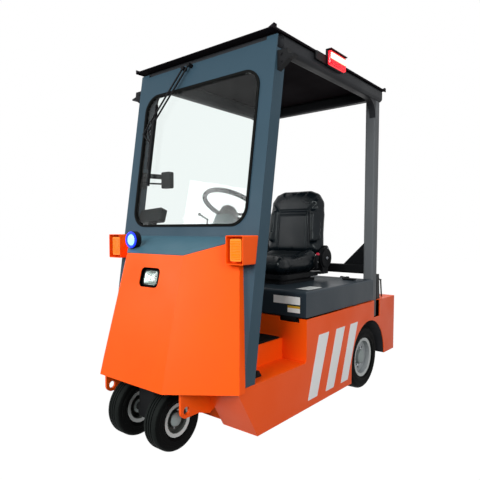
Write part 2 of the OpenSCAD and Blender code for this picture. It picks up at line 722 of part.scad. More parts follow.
// Driven rear axle: housing, tubes, wheel spindles, motor and its carrier plates
module drive_axle() color(dark) {
  flange = rear_wheel_x - rear_tyre_w / 2 - 6;
  tube = gear_r * 0.37;
  disc = spindle_r + 40;
  half = [[0, flange], [disc, flange], [disc, flange - 12], [tube, flange - 12], [tube, gear_r * 1.27],
    [gear_r * 0.76, gear_r * 0.93], [gear_r, gear_r * 0.5]];
  about_x(0, rear_axle_y, rear_r) polygon([each half, for (i = [6 : -1 : 0]) [half[i].x, -half[i].y]]);
  both() translate([flange - 1, rear_axle_y, rear_r]) rotate([0, 90, 0])
    cylinder(h = rear_wheel_x + 18 - flange, r = spindle_r);
  translate([0, rear_axle_y + gear_r * 0.76, rear_r + 20]) rotate([-90, 0, 0]) cylinder(h = 240, r = motor_r);
  both() along_x(flange - carrier_in, flange - carrier_in + 20) polygon([[rear_axle_y - 60, rear_r], [rear_axle_y + 60, rear_r],
    [rear_axle_y + 90, deck_z - sheet_t], [rear_axle_y - 90, deck_z - sheet_t]]);
}

// Wheel arch liners with their inner walls and the wall behind each wheel
module wheel_wells() color(dark) both() {
  inner = rear_wheel_x - rear_tyre_w / 2 - 30;
  along_x(inner, side_in) intersection() {
    difference() {
      translate([arch_y, arch_z]) circle(arch_r + sheet_t);
      translate([arch_y, arch_z]) circle(arch_r);
    }
    translate([arch_y - 2 * arch_r, arch_z]) square([4 * arch_r, 2 * arch_r]);
  }
  along_x(inner - sheet_t, inner) intersection() {
    difference() {
      translate([arch_y, arch_z]) circle(arch_r + sheet_t);
      translate([rear_axle_y, rear_r]) circle(spindle_r * 3);
      translate([rear_axle_y - spindle_r * 3, 0]) square([spindle_r * 6, rear_r]);
    }
    translate([arch_y - 2 * arch_r, arch_z]) square([4 * arch_r, 2 * arch_r]);
  }
  along_x(inner - sheet_t, side_in) translate([arch_y + arch_r + sheet_t / 4, rear_z])
    square([sheet_t, deck_z - sheet_t - rear_z]);
}

// Tow coupling: back plate, jaw plates with the draw pin's bore, and side webs
module tow_coupling() color(black) difference() {
  half = jaw_gap / 2;
  union() {
    translate([0, 0, tow_z]) along_y(rear_y, rear_y + jaw_t) rrect(4 * jaw_r, 200, 10);
    for (z = [-half - jaw_t, half]) along_z(tow_z + z, tow_z + z + jaw_t) {
      translate([-jaw_r, rear_y + jaw_t / 2]) square([2 * jaw_r, tow_reach - jaw_r - jaw_t / 2]);
      translate([0, tow_y - jaw_r]) circle(jaw_r);
    }
    both() translate([jaw_r + 12, rear_y + jaw_t - 2, tow_z]) along_x(0, 10)
      polygon([[0, -60], [30, -46], [30, 46], [0, 60]]);
  }
  translate([0, tow_y - jaw_r, tow_z - 100]) cylinder(h = 200, r = tow_pin_r);
}

// Cases of the headlamp, the spot lamp and the two roof lights
module lamp_housings() color(black) {
  nose_face() translate([0, 0, lamp_up]) {
    difference() {
      along_y(nose_t, 64) rrect(lamp_w + 22, lamp_h + 22, lamp_h / 4 + 6);
      along_y(0, 60) rrect(lamp_w + 14, lamp_h + 14, lamp_h / 4 + 2);
    }
    along_y(20, 62) rrect(lamp_w - 34, lamp_h - 18, lamp_h / 5);
  }
  difference() {
    translate([-spot_x, spot_y, spot_z]) {
      translate([0, 38, 0]) rotate([90, 0, 0]) cylinder(h = 32, r = spot_r);
      translate([0, 50, 0]) rotate([90, 0, 0]) cylinder(h = 13, r1 = spot_r * 0.6, r2 = spot_r);
      translate([-12, 8, -2 * spot_r]) cube([24, 28, spot_r + 6]);
    }
    on_shelf() translate([-nose_rear_x, -spot_r, -3 * spot_r])
      cube([2 * nose_rear_x, 8 * spot_r, 3 * spot_r + shelf_t + 0.1]);
  }
  both() {
    along_x(roof_x, roof_x + 14) translate([red_y, red_z]) rrect(red_l, red_h, 10);
    along_x(roof_x, roof_x + 34) translate([red_y - red_l / 2, red_z + red_h / 2 - 5]) square([red_l, 4]);
    along_x(roof_x, roof_x + 8) translate([red_y - red_l * 0.67, red_z - 17]) rrect(red_l * 0.85, 44, 6);
  }
}

// Lenses of the headlamp, the spot lamp and the roof lights
module lamp_lenses() color("#dfe8ff") {
  nose_face() translate([0, 0, lamp_up]) along_y(14, 20) rrect(lamp_w - 44, lamp_h - 28, lamp_h / 6);
  translate([-spot_x, spot_y + 6, spot_z]) rotate([90, 0, 0]) cylinder(h = 6, r = spot_r - 6);
  both() along_x(roof_x + 14, roof_x + 32) translate([red_y, red_z - 4]) rrect(red_l - 6, red_h - 12, 8);
}

// Folded guards of the turn indicators
module indicator_guards() color(orange) both() difference() {
  along_y(guard_y - 100, guard_y + 20) translate([guard_x, guard_z]) rrect(guard_w, guard_h, 6);
  along_y(guard_y - 120, guard_y - 44) translate([guard_x, guard_z]) rrect(guard_w - 8, guard_h - 8, 4);
  nose_solid(0);
  cowl_shelf();
  behind_screen(0);
}

// Amber indicator lenses
module indicator_lenses() color("#f5a11c") both() difference() {
  along_y(guard_y - 90, guard_y - 44) translate([guard_x, guard_z]) rrect(guard_w - 36, guard_h - 30, 8);
  nose_solid(0);
}

// Hinge stands of the hood, and the bracket with its bent rod on the rear corner
module rear_fittings() color(black) {
  stand = hinge_l * 0.3 - 0.3;
  both() for (x = [hinge_x - hinge_l / 2, hinge_x + hinge_l / 2 - stand]) along_x(x, x + stand) difference() {
    union() {
      translate([hinge_y + 7, deck_z]) square([8, hinge_z - deck_z]);
      translate([hinge_y, hinge_z]) circle(2 * hinge_r);
      translate([hinge_y, hinge_z - 2 * hinge_r]) square([15, 2 * hinge_r]);
    }
    translate([hinge_y, hinge_z]) circle(hinge_r + run_gap);
  }
  middle = post_x - post_w / 2;
  along_x(post_x - post_w, post_x) translate([post_back, deck_z])
    polygon([[0, 0], [52, 0], [36, 170], [0, 170]]);
  rod = [[middle, post_back + 30, deck_z + 105], [middle, post_back + 96, deck_z + 128],
    [middle, post_back + 150, deck_z + 118], [middle, post_back + 168, deck_z + 1]];
  bar(rod[0], rod[1], 13);
  for (i = [1, 2]) {
    bar(rod[i], rod[i + 1], 5);
    translate(rod[i]) sphere(r = i == 1 ? 13.6 : 6.5);
  }
}

// Battery hood as a solid with rounded top edges, its wall moved in by an inset
module hood_solid(inset) {
  front = box_y + 3 + inset;
  l = hood_back - inset - front;
  w = 2 * (hood_x - inset);
  h = hood_h - inset;
  r = hood_round - inset;
  low = inset > 0 ? -1 : 0;
  translate([0, 0, hood_low]) intersection() {
    along_y(front - 1, hood_back + 1) {
      translate([-w / 2, low]) square([w, h - r - low]);
      translate([r - w / 2, low]) square([w - 2 * r, h - low]);
      for (s = [-1, 1]) translate([s * (w / 2 - r), h - r]) circle(r);
    }
    along_x(-hood_x - 5, hood_x + 5) translate([front, 0]) {
      translate([0, low]) square([l, h - r - low]);
      translate([r, low]) square([l - 2 * r, h - low]);
      for (u = [r, l - r]) translate([u, h - r]) circle(r);
    }
  }
}

module hood() color(slate) difference() {
  hood_solid(0);
  hood_solid(hood_t);
}

// Latch under the hood's front lip, hinge pins, rubber stops and the handle on its top
module hood_fittings() color(black) {
  stop = [40, hood_lift - 0.3];
  translate([latch_x - latch_w / 2, box_y + 3, hood_low - 22]) cube([latch_w, 8, 22]);
  both() {
    translate([hinge_x - hinge_l / 2, hinge_y, hinge_z]) rotate([0, 90, 0]) cylinder(h = hinge_l, r = hinge_r);
    along_x(hinge_x - hinge_l / 5, hinge_x + hinge_l / 5) {
      translate([hinge_y, hinge_z]) circle(hinge_r + 4);
      translate([hood_back, hinge_z - 10]) square([hinge_y - hood_back, 10]);
    }
    translate([hood_x / 5, box_y + 1, deck_z + 0.3]) cube([stop.x, 6, stop.y]);
    translate([hood_x - stop.x, rear_axle_y - arch_r + 53, deck_z + 0.3]) cube([stop.x, stop.x, stop.y]);
  }
  along_x(latch_x - 40, latch_x + 40) translate([hood_back - 150, hood_z + 8]) rrect(36, 10, 4);
  along_x(latch_x - 40, latch_x + 40) translate([hood_back - 162, hood_z]) square([24, 5]);
}

// Seat suspension: base frame, bellows, cushion pan and the side hinge covers that hold the backrest
module seat_base() color(black) {
  middle = seat_y + seat_l / 2 + 10;
  translate([0, middle, 0]) {
    along_z(hood_z, hood_z + 16) rrect(seat_w * 0.9, seat_l * 0.92, 40);
    along_z(hood_z + 15, pan_z - 25) rrect(seat_w * 0.8, seat_l * 0.84, 30);
    along_z(pan_z - 26, pan_z) rrect(seat_w - 6, seat_l - 8, 44);
  }
  both() {
    translate([seat_w / 2 - 40, back_y - cover_r, pan_z - 18]) cube([56, cover_r, 17.9]);
    along_x(seat_w / 2 + 3, seat_w / 2 + 20) {
      translate([back_y - 8, pan_z + 85]) circle(cover_r);
      translate([back_y, seat_z + 24]) circle(36);
      translate([back_y - 44, pan_z - 18]) square([72, seat_z + 36 - pan_z]);
    }
    along_x(seat_w / 2 + 19, seat_w / 2 + 30) translate([back_y - 8, pan_z + 85]) circle(cover_r - 10);
  }
}

// Seat cushion: a rounded pad with side bolsters that rise rearward
module seat_cushion() color(black) {
  r = pad_t / 2;
  middle = pan_z + r + 0.1;
  hull() for (x = [-1, 1]) {
    translate([x * (seat_w / 2 - r - 10), seat_y + r, middle]) sphere(r = r, $fn = 32);
    translate([x * (seat_w / 2 - r), seat_y + seat_l - r, middle]) sphere(r = r, $fn = 32);
  }
  for (x = [-1, 1]) hull() {
    translate([x * (seat_w / 2 - 36), seat_y + 100, middle + 8]) sphere(r = 30, $fn = 24);
    translate([x * (seat_w / 2 - 34), seat_y + seat_l - 60, middle + 40]) sphere(r = 32, $fn = 24);
  }
}

// Seat backrest: rounded shoulders and crown, with side wings that stand forward
module seat_back() color(black) {
  r = 46;
  rise = seat_top_z - seat_z;
  // Middles of the round edge on one side, from the foot to the crown: x, y and z
  edge = [[seat_w / 2 + 2.9 - r, back_y + 4, seat_z + 28], [seat_w / 2 - 47, back_y + 22, seat_z + rise * 0.58],
    [seat_w / 2 - 58, back_y + 34, seat_z + rise * 0.78], [seat_w / 2 - 82, back_y + 40, seat_top_z - r - 16],
    [seat_w / 2 - 124, back_y + 42, seat_top_z - r]];
  hull() both() for (p = edge) translate(p) sphere(r = r, $fn = 32);
  both() hull() {
    translate([seat_w / 2 - 56, back_y - 32, seat_z + 98]) sphere(r = 31, $fn = 24);
    translate([seat_w / 2 - 66, back_y - 12, seat_z + rise * 0.63]) sphere(r = 31, $fn = 24);
  }
}

// Steered fork: spindle, crown, leg and the front axle shaft
module fork() color(dark) {
  leg = twin_gap - 60;
  translate([0, front_axle_y, head_z - 30]) cylinder(h = head_h + 30, r = kingpin_r);
  translate([0, front_axle_y, head_z - 32]) cylinder(h = 31.7, r = crown_r);
  along_z(front_r, head_z - 31) translate([0, front_axle_y]) rrect(leg, 90, 14);
  translate([0, front_axle_y, front_r]) rotate([0, 90, 0]) cylinder(h = leg, r = 45, center = true);
  translate([0, front_axle_y, front_r]) rotate([0, 90, 0])
    cylinder(h = 2 * front_wheel_x + 50, r = axle_r, center = true);
}

// Tyre section in (radius, along): rounded shoulders, tapered beads and tread grooves
module tyre_section(r, w, rim) {
  difference() {
    intersection() {
      translate([(r + rim) / 2 - 1, 0]) rrect(r - rim + 2, w, w * 0.24);
      polygon([[rim - 2, -w * 0.36], [rim + 8, -w * 0.40], [rim + 22, -w / 2], [r, -w / 2],
        [r, w / 2], [rim + 22, w / 2], [rim + 8, w * 0.40], [rim - 2, w * 0.36]]);
    }
    for (v = [-0.17, 0, 0.17]) translate([r - 6, v * w - 3]) square([10, 6]);
  }
}

// Rim section in (radius, along): bead seats, dished disc, hub and domed cap; cap is its inner face
module rim_section(rim, w, bore, cap) {
  e = w * 0.36 + 0.4;
  f = w * 0.392 + 0.4;
  polygon([[bore, -w * 0.30], [bore + 16, -w * 0.30], [bore + 18, w * 0.02], [rim - 22, w * 0.10],
    [rim - 14, w * 0.08], [rim - 14, -e - 3], [rim + 6, -f - 3], [rim + 6, -f], [rim - 2.3, -e],
    [rim - 2.3, e], [rim + 6, f], [rim + 6, f + 3], [rim - 14, e + 3], [rim - 16, w * 0.14], [rim - 24, w * 0.14],
    [bore + 18, w * 0.08], [bore + 14, w * 0.30], [bore + 8, w * 0.355], [bore - 4, w * 0.39],
    [bore * 0.4, w * 0.405], [0, w * 0.41], [0, cap], [bore, cap]]);
}

// Rim with a ring of holes through its disc
module rim_wheel(rim, w, bore, cap, holes, hole_r) {
  difference() {
    rotate([0, 90, 0]) rotate_extrude($fn = 96) rim_section(rim, w, bore, cap);
    for (i = [0 : holes - 1]) rotate([i * 360 / holes, 0, 0]) translate([-w * 0.2, 0, (bore + rim - 4) / 2])
      rotate([0, 90, 0]) cylinder(h = w * 0.5, r = hole_r);
  }
}

module front_tyres() color(black) both() about_x(front_wheel_x, front_axle_y, front_r)
  tyre_section(front_r, front_tyre_w, front_rim_r);

module front_rims() color(silver) both() translate([front_wheel_x, front_axle_y, front_r])
  rim_wheel(front_rim_r, front_tyre_w, axle_r + run_gap, 25.5, 5, 3.5);

module rear_tyre() color(black) about_x(rear_wheel_x, rear_axle_y, rear_r)
  tyre_section(rear_r, rear_tyre_w, rear_rim_r);

module rear_rim() color(silver) translate([rear_wheel_x, rear_axle_y, rear_r])
  rim_wheel(rear_rim_r, rear_tyre_w, spindle_r + run_gap, 18.5, 8, 9);

module rear_tyre_left() rear_tyre();
module rear_rim_left() rear_rim();
module rear_tyre_right() mirror([1, 0, 0]) rear_tyre();
module rear_rim_right() mirror([1, 0, 0]) rear_rim();

// Steering wheel: rim, three spokes, hub and domed horn cap
module steering_wheel() color(black) on_column() difference() {
  union() {
    rotate_extrude($fn = 96) translate([wheel_r, 0]) circle(rim_r, $fn = 32);
    for (a = [35, 90, 145]) rotate([0, 0, a]) bar([hub_r * 0.6, 0, -46], [wheel_r - 2, 0, 0], 8);
    rotate_extrude() polygon([[0, -74], [hub_r * 0.7, -74], [hub_r, -56], [hub_r, -38], [hub_r * 0.9, -24],
      [hub_r * 0.6, -12], [hub_r * 0.25, -7], [0, -6]]);
  }
  translate([0, 0, -86]) cylinder(h = 67, r = shaft_r + run_gap);
}

side_panels();
floor_pan();
floor_mat();
battery_box();
rear_deck();
front_plates();
steer_head();
lower_front();
nose_panel();
cowl_shelf();
windscreen_frame();
windscreen_seal();
windscreen_glass();
wiper();
roof_sheet();
roof_rails();
pillar_brackets();
rear_posts();
crossbeam();
dash();
steering_column();
driver_controls();
cab_devices();
battery();
drive_axle();
wheel_wells();
tow_coupling();
lamp_housings();
lamp_lenses();
indicator_guards();
indicator_lenses();
rear_fittings();
hood();
hood_fittings();
seat_base();
seat_cushion();
seat_back();
fork();
front_tyres();
front_rims();
rear_tyre_left();
rear_rim_left();
rear_tyre_right();
rear_rim_right();
steering_wheel();
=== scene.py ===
"""Looks of a small electric baggage tug: paints, glass, lamps, seat covers and fittings over its CAD frame.

The frame is in metres. The front faces -Y, +X is the vehicle's left, +Z is up and z = 0 is the ground.
"""

import logging
import math
from dataclasses import dataclass, field
from enum import Enum
from typing import Any, Iterable, Sequence

import bmesh
import bpy
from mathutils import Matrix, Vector, bvhtree, kdtree


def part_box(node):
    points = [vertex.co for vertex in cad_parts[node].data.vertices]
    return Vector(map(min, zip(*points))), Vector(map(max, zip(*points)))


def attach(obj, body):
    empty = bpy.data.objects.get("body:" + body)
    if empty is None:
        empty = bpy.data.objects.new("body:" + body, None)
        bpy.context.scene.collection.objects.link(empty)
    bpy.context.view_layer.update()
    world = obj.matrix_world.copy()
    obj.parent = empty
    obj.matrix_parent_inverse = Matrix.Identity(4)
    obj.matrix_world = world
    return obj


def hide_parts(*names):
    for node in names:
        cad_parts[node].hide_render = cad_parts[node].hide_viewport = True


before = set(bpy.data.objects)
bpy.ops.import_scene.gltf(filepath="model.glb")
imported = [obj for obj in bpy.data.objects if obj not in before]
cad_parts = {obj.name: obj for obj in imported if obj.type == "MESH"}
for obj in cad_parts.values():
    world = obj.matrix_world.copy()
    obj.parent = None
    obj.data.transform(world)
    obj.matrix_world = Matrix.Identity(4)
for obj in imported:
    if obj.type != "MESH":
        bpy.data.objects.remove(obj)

log = logging.getLogger("tug")
MM = 0.001
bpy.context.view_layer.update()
X = Vector((1, 0, 0))
Y = Vector((0, 1, 0))
Z = Vector((0, 0, 1))
# Angles from which an edge is rounded, and from which it is shaded sharp.
ROUNDED_FROM = 0.6
SHARP_FROM = math.radians(38)

Tree = bpy.types.NodeTree
Socket = bpy.types.NodeSocket
Mesh = bpy.types.Mesh
Object = bpy.types.Object
Pairs = Sequence[tuple[float, float]]
Rows = tuple[tuple[float, ...], ...]
# Lowest and highest corner.
Box = tuple[Vector, Vector]
# Seat of a screw and the direction in which it stands.
Stand = tuple[Vector, Vector]
# A line along which padding stands out, with the roll's height and half width.
Roll = tuple[list[Vector], float, float]


class Body(Enum):
    """Bodies of the CAD frame that carry pieces."""

    CHASSIS = "chassis"
    HOOD = "hood"
    FRONT_WHEELS = "front_wheels"
    REAR_LEFT = "rear_wheel_left"
    REAR_RIGHT = "rear_wheel_right"


class Slot(Enum):
    """Material slots of the record."""

    ORANGE = "orange_paint"
    SLATE = "slate_paint"
    BLACK = "black_paint"
    PLASTIC = "black_plastic"
    VINYL = "vinyl"
    LENS = "lens"
    AMBER = "amber"
    GLASS = "glass"
    TYRE = "tyre"
    RUBBER = "rubber"
    METAL = "rim_metal"


class Surface(Enum):
    """How a finish was made, which decides the pattern that its nodes draw."""

    SPRAYED = "sprayed"
    MOULDED = "moulded"
    EMBOSSED = "embossed"
    ROLLED = "rolled"


class Kind(Enum):
    """Types of a pattern's inputs."""

    FLOAT = "NodeSocketFloat"
    WHOLE = "NodeSocketInt"
    VECTOR = "NodeSocketVector"
    FINISH = "NodeSocketMaterial"


def linear(hex_colour: str) -> tuple[float, float, float, float]:
    """Turns an sRGB hex value into Blender's linear colour.

    Args:
        hex_colour: Colour such as "#f2601c".

    Returns:
        Linear red, green, blue and a full alpha.
    """
    parts = [int(hex_colour[i : i + 2], 16) / 255 for i in (1, 3, 5)]
    r, g, b = (c / 12.92 if c <= 0.04045 else ((c + 0.055) / 1.055) ** 2.4 for c in parts)
    return (r, g, b, 1.0)


def add(tree: Tree, kind: str, inputs: dict[Any, Any] | None = None, **settings: Any) -> bpy.types.Node:
    """Adds a node with its settings, values and links.

    Args:
        tree: Tree that takes the node.
        kind: Blender's name of the node type.
        inputs: Input name or index, and either a value or the socket that feeds it.
        **settings: The node's own properties.

    Returns:
        The new node.
    """
    node = tree.nodes.new(kind)
    for key, value in settings.items():
        setattr(node, key, value)
    for key, value in (inputs or {}).items():
        if isinstance(value, bpy.types.NodeSocket):
            tree.links.new(value, node.inputs[key])
        else:
            node.inputs[key].default_value = value
    return node


def emptied(owner: bpy.types.Material | bpy.types.World) -> Tree:
    """Clears the nodes of a new material or world.

    Args:
        owner: The material or world.

    Returns:
        Its empty node tree.
    """
    owner.use_nodes = True
    owner.node_tree.nodes.clear()
    return owner.node_tree


def shown(thing: Any, name: str) -> Object:
    """Puts a mesh, light or camera in the scene.

    Args:
        thing: The mesh, light or camera.
        name: Name of its object.

    Returns:
        The new object.
    """
    obj = bpy.data.objects.new(name, thing)
    bpy.context.scene.collection.objects.link(obj)
    return obj


def evaluated(obj: Object) -> Mesh:
    """Runs an object's modifiers.

    Args:
        obj: Object with modifiers.

    Returns:
        The result as a plain mesh.
    """
    dg = bpy.context.evaluated_depsgraph_get()
    dg.update()
    return bpy.data.meshes.new_from_object(obj.evaluated_get(dg), depsgraph=dg)


class Coat:
    """What gives a piece its material. Each kind of coat draws its own nodes."""

    name: str

    def material(self) -> bpy.types.Material:
        """Makes the material on first use.

        Returns:
            The coat's material.
        """
        mat = bpy.data.materials.get(self.name)
        if not mat:
            mat = bpy.data.materials.new(self.name)
            tree = emptied(mat)
            add(tree, "ShaderNodeOutputMaterial", {"Surface": self.draw(tree)})
        return mat

    def draw(self, tree: Tree) -> Socket:
        """Adds the coat's nodes and returns its shader."""
        raise NotImplementedError


@dataclass(frozen=True)
class Finish(Coat):
    """A coat, skin or bare material as nodes that read Object coordinates.

    Attributes:
        name: Common name of the real material.
        colour: Its main colour, sRGB hex.
        shade: Colour that its blotches and dust tend to, sRGB hex.
        surface: How it was made.
        roughness: Middle roughness.
        metallic: 1 for bare metal.
        grain_mm: Size of its fine grain.
        relief_mm: Height of that grain.
        glow: Strength of its light, for a lit lamp.
        clear: Transmission weight, for glass.
        gloss: Specular level, 0.5 for a plain dielectric.
        blotch_mm: Size of its slow colour variation.
        blotch: Share of the shade colour in the blotches.
        uneven: How far the roughness falls and rises with the blotches.
    """

    name: str
    colour: str
    shade: str
    surface: Surface = Surface.SPRAYED
    roughness: float = 0.4
    metallic: float = 0.0
    grain_mm: float = 6.0
    relief_mm: float = 0.05
    glow: float = 0.0
    clear: float = 0.0
    gloss: float = 0.5
    blotch_mm: float = 220.0
    blotch: float = 0.25
    uneven: tuple[float, float] = (0.07, 0.09)

    def draw(self, tree: Tree) -> Socket:
        """Adds the coat's nodes.

        Args:
            tree: Empty tree of the material.

        Returns:
            The coat's shader.
        """
        place = add(tree, "ShaderNodeTexCoord").outputs["Object"]
        shader = add(tree, "ShaderNodeBsdfPrincipled")
        self._colour(tree, place, shader)
        self._grain(tree, place, shader)
        shader.inputs["Metallic"].default_value = self.metallic
        shader.inputs["Specular IOR Level"].default_value = self.gloss
        shader.inputs["Transmission Weight"].default_value = self.clear
        if self.glow:
            shader.inputs["Emission Color"].default_value = linear(self.colour)
            shader.inputs["Emission Strength"].default_value = self.glow
        return shader.outputs["BSDF"]

    def _colour(self, tree: Tree, place: Socket, shader: bpy.types.Node) -> None:
        """Adds slow blotches between the two colours, with roughness that follows them.

        Args:
            tree: Tree of the material.
            place: Object coordinates.
            shader: Shader that the blotches feed.
        """
        clouds = {"Vector": place, "Scale": 1000 / self.blotch_mm, "Detail": 4.0}
        cloud = add(tree, "ShaderNodeTexNoise", clouds).outputs["Fac"]
        spread = {"Value": cloud, "From Min": 0.35, "From Max": 0.75, "To Max": self.blotch}
        share = add(tree, "ShaderNodeMapRange", spread).outputs[0]
        mix = add(tree, "ShaderNodeMix", {"Factor": share}, data_type="RGBA")
        mix.inputs["A"].default_value = linear(self.colour)
        mix.inputs["B"].default_value = linear(self.shade)
        tree.links.new(mix.outputs["Result"], shader.inputs["Base Color"])
        fall, rise = self.uneven
        low, high = max(0.02, self.roughness - fall), min(1.0, self.roughness + rise)
        spread = {"Value": cloud, "From Min": 0.3, "From Max": 0.7, "To Min": low, "To Max": high}
        rough = add(tree, "ShaderNodeMapRange", spread).outputs[0]
        tree.links.new(rough, shader.inputs["Roughness"])

    def _grain(self, tree: Tree, place: Socket, shader: bpy.types.Node) -> None:
        """Adds fine relief: orange peel, moulded spark grain, embossed leather cells or mill lines.

        Args:
            tree: Tree of the material.
            place: Object coordinates.
            shader: Shader that the relief feeds.
        """
        scale = 1000 / self.grain_mm
        if self.surface is Surface.EMBOSSED:
            cells = {"Vector": place, "Scale": scale}
            height = add(tree, "ShaderNodeTexVoronoi", cells, feature="SMOOTH_F1").outputs["Distance"]
        elif self.surface is Surface.ROLLED:
            along = (scale, scale, scale / 12)
            drawn = add(tree, "ShaderNodeMapping", {"Vector": place, "Scale": along}).outputs["Vector"]
            height = add(tree, "ShaderNodeTexNoise", {"Vector": drawn, "Scale": 1.0}).outputs["Fac"]
        else:
            detail = 3.0 if self.surface is Surface.MOULDED else 0.0
            sparks = {"Vector": place, "Scale": scale, "Detail": detail}
            height = add(tree, "ShaderNodeTexNoise", sparks).outputs["Fac"]
        relief = {"Height": height, "Strength": 0.6, "Distance": self.relief_mm * MM}
        tree.links.new(add(tree, "ShaderNodeBump", relief).outputs["Normal"], shader.inputs["Normal"])


# Two-pack enamel sprayed on folded sheet: a saturated red orange under a thin sheen, faintly orange-peeled.
ORANGE = Finish("orange enamel on sheet steel", "#f2560c", "#e04408", roughness=0.38, grain_mm=7, gloss=0.15)
# Satin alkyd enamel: a cold blue-grey with soft broad highlights.
SLATE = Finish("slate satin enamel on steel", "#324855", "#2b3d48", gloss=0.12)
# The shelf's coat: the slate paint drawn a shade lighter and bluer, as a painted reflection of the sky.
PAINTED_SKY_SHELF_SLATE = Finish("pale slate satin enamel", "#3f616f", "#385662", gloss=0.14)
# The hood's coat, the same paint but deeper.
HOOD_SLATE = Finish("deep slate satin enamel", "#263038", "#2c3338", roughness=0.36, gloss=0.16)
# The darker satin coat of the tube frame, warmer than the slate.
GRAPHITE = Finish("graphite satin enamel on tube", "#2a2c2f", "#312f32", roughness=0.45, gloss=0.08)
# Matt anti-drip coat of the roof sheet, drawn near black: its own dark paint, with painted shade of the
# roof's underside taken into the colour.
ROOF_COAT_AND_SHADE = Finish(
    "matt roof coat with painted shade", "#1b181b", "#231f22", Surface.MOULDED, 0.8, grain_mm=4, relief_mm=0.15, gloss=0.02
)
# The rear posts' lighter coat.
POST_GREY = Finish("grey satin enamel on tube", "#626568", "#565a5d", roughness=0.45, gloss=0.08)
# Semi-matt black stove enamel of the brackets and beams.
BLACK_PAINT = Finish("black stove enamel", "#101113", "#191a1c", roughness=0.42, grain_mm=5, gloss=0.08)
# Injection-moulded housings with a fine spark grain.
BLACK_PLASTIC = Finish(
    "black moulded polypropylene", "#0f1012", "#17181a", Surface.MOULDED, 0.45,
    grain_mm=2.2, relief_mm=0.12, gloss=0.1,
)
# The steering column's cowl: the same moulding in a grey green.
GREY_PLASTIC = Finish(
    "grey moulded column cowl", "#3b484a", "#333f42", Surface.MOULDED, 0.45,
    grain_mm=2.2, relief_mm=0.1, gloss=0.15,
)
# EPDM gaskets and mats: dull, a little dusty.
RUBBER = Finish(
    "black sheet rubber", "#101111", "#222321", Surface.MOULDED, 0.7, grain_mm=3, relief_mm=0.1, gloss=0.03
)
# Zinc-plated fasteners: bright grey with mill marks.
ZINC = Finish(
    "zinc plated steel", "#b9bcc0", "#94979a", Surface.ROLLED, 0.34, 1.0, grain_mm=1.2, relief_mm=0.02
)
# Sand-cast and painted axle parts: dull near-black with a coarse skin.
CAST = Finish(
    "painted iron casting", "#161718", "#211f1e", Surface.MOULDED, 0.6, grain_mm=5, relief_mm=0.4, gloss=0.08
)
# Battery trough coated with acid-proof plastic.
TROUGH = Finish("coated battery trough", "#3a3e41", "#2f3336", roughness=0.55, grain_mm=4)
# Seat vinyl: leather grain pressed into PVC. Real cells are under 1 mm. They are drawn at 4 mm to show.
# Its blue tint is painted sheen: the bluish reflections on the black vinyl are drawn into its colour.
VINYL = Finish(
    "black embossed seat vinyl", "#0a1014", "#101b22", Surface.EMBOSSED, 0.3,
    grain_mm=4, relief_mm=0.12, gloss=0.22,
)
# Seam thread, a shade lighter than the vinyl.
PIPING = Finish("vinyl seam thread", "#252c31", "#1a2024", Surface.MOULDED, grain_mm=2, relief_mm=0.1)
# Dyed acrylic of the turn indicators: deep amber that scatters light.
AMBER = Finish("amber acrylic lens", "#f08410", "#dc6408", Surface.MOULDED, 0.18, grain_mm=9, glow=0.08)
# Lit blue spot: a deep blue rim round a pale diode.
BLUE = Finish("lit blue spot lens", "#0f2fe6", "#0818c0", Surface.MOULDED, 0.15, grain_mm=8, glow=1.1)
CYAN = Finish("lit blue diode", "#8fd6ff", "#4f9cff", Surface.MOULDED, 0.2, grain_mm=8, glow=1.2)
# Lit red bar: the diodes clip to a pale glow, the lens round them stays red.
RED = Finish("lit red lens", "#ff1024", "#e0061a", Surface.MOULDED, 0.2, grain_mm=8, glow=0.9)
PALE = Finish("lit red diodes", "#fff0c8", "#ffd9a0", Surface.MOULDED, 0.2, grain_mm=8, glow=1.3)
# Vacuum-coated reflector: mirror-bright with a slight ripple.
MIRROR = Finish(
    "aluminised reflector", "#d8e2de", "#b4c2bb", Surface.MOULDED, 0.14, 1.0, grain_mm=10, relief_mm=0.3
)
# Clear pressed headlamp glass.
LAMP_GLASS = Finish(
    "pressed lamp glass", "#eaf6f2", "#d6e8e2", Surface.MOULDED, 0.06, grain_mm=9, relief_mm=0.5, clear=0.9
)
# Retro-reflective tape: flat white with a faint bead texture.
TAPE = Finish("white reflective tape", "#eceded", "#d9dcde", Surface.EMBOSSED, grain_mm=3, relief_mm=0.02)
# Blank polyester labels.
LABEL = Finish("white polyester label", "#eef2f0", "#dde3e0", roughness=0.35, grain_mm=3, relief_mm=0.01)
LABEL_YELLOW = Finish(
    "yellow polyester label", "#cfa92e", "#bb951f", roughness=0.35, grain_mm=3, relief_mm=0.01
)
# Seat-belt button.
RED_PLASTIC = Finish("red moulded plastic", "#c41f3c", "#a3152b", Surface.MOULDED, grain_mm=2)


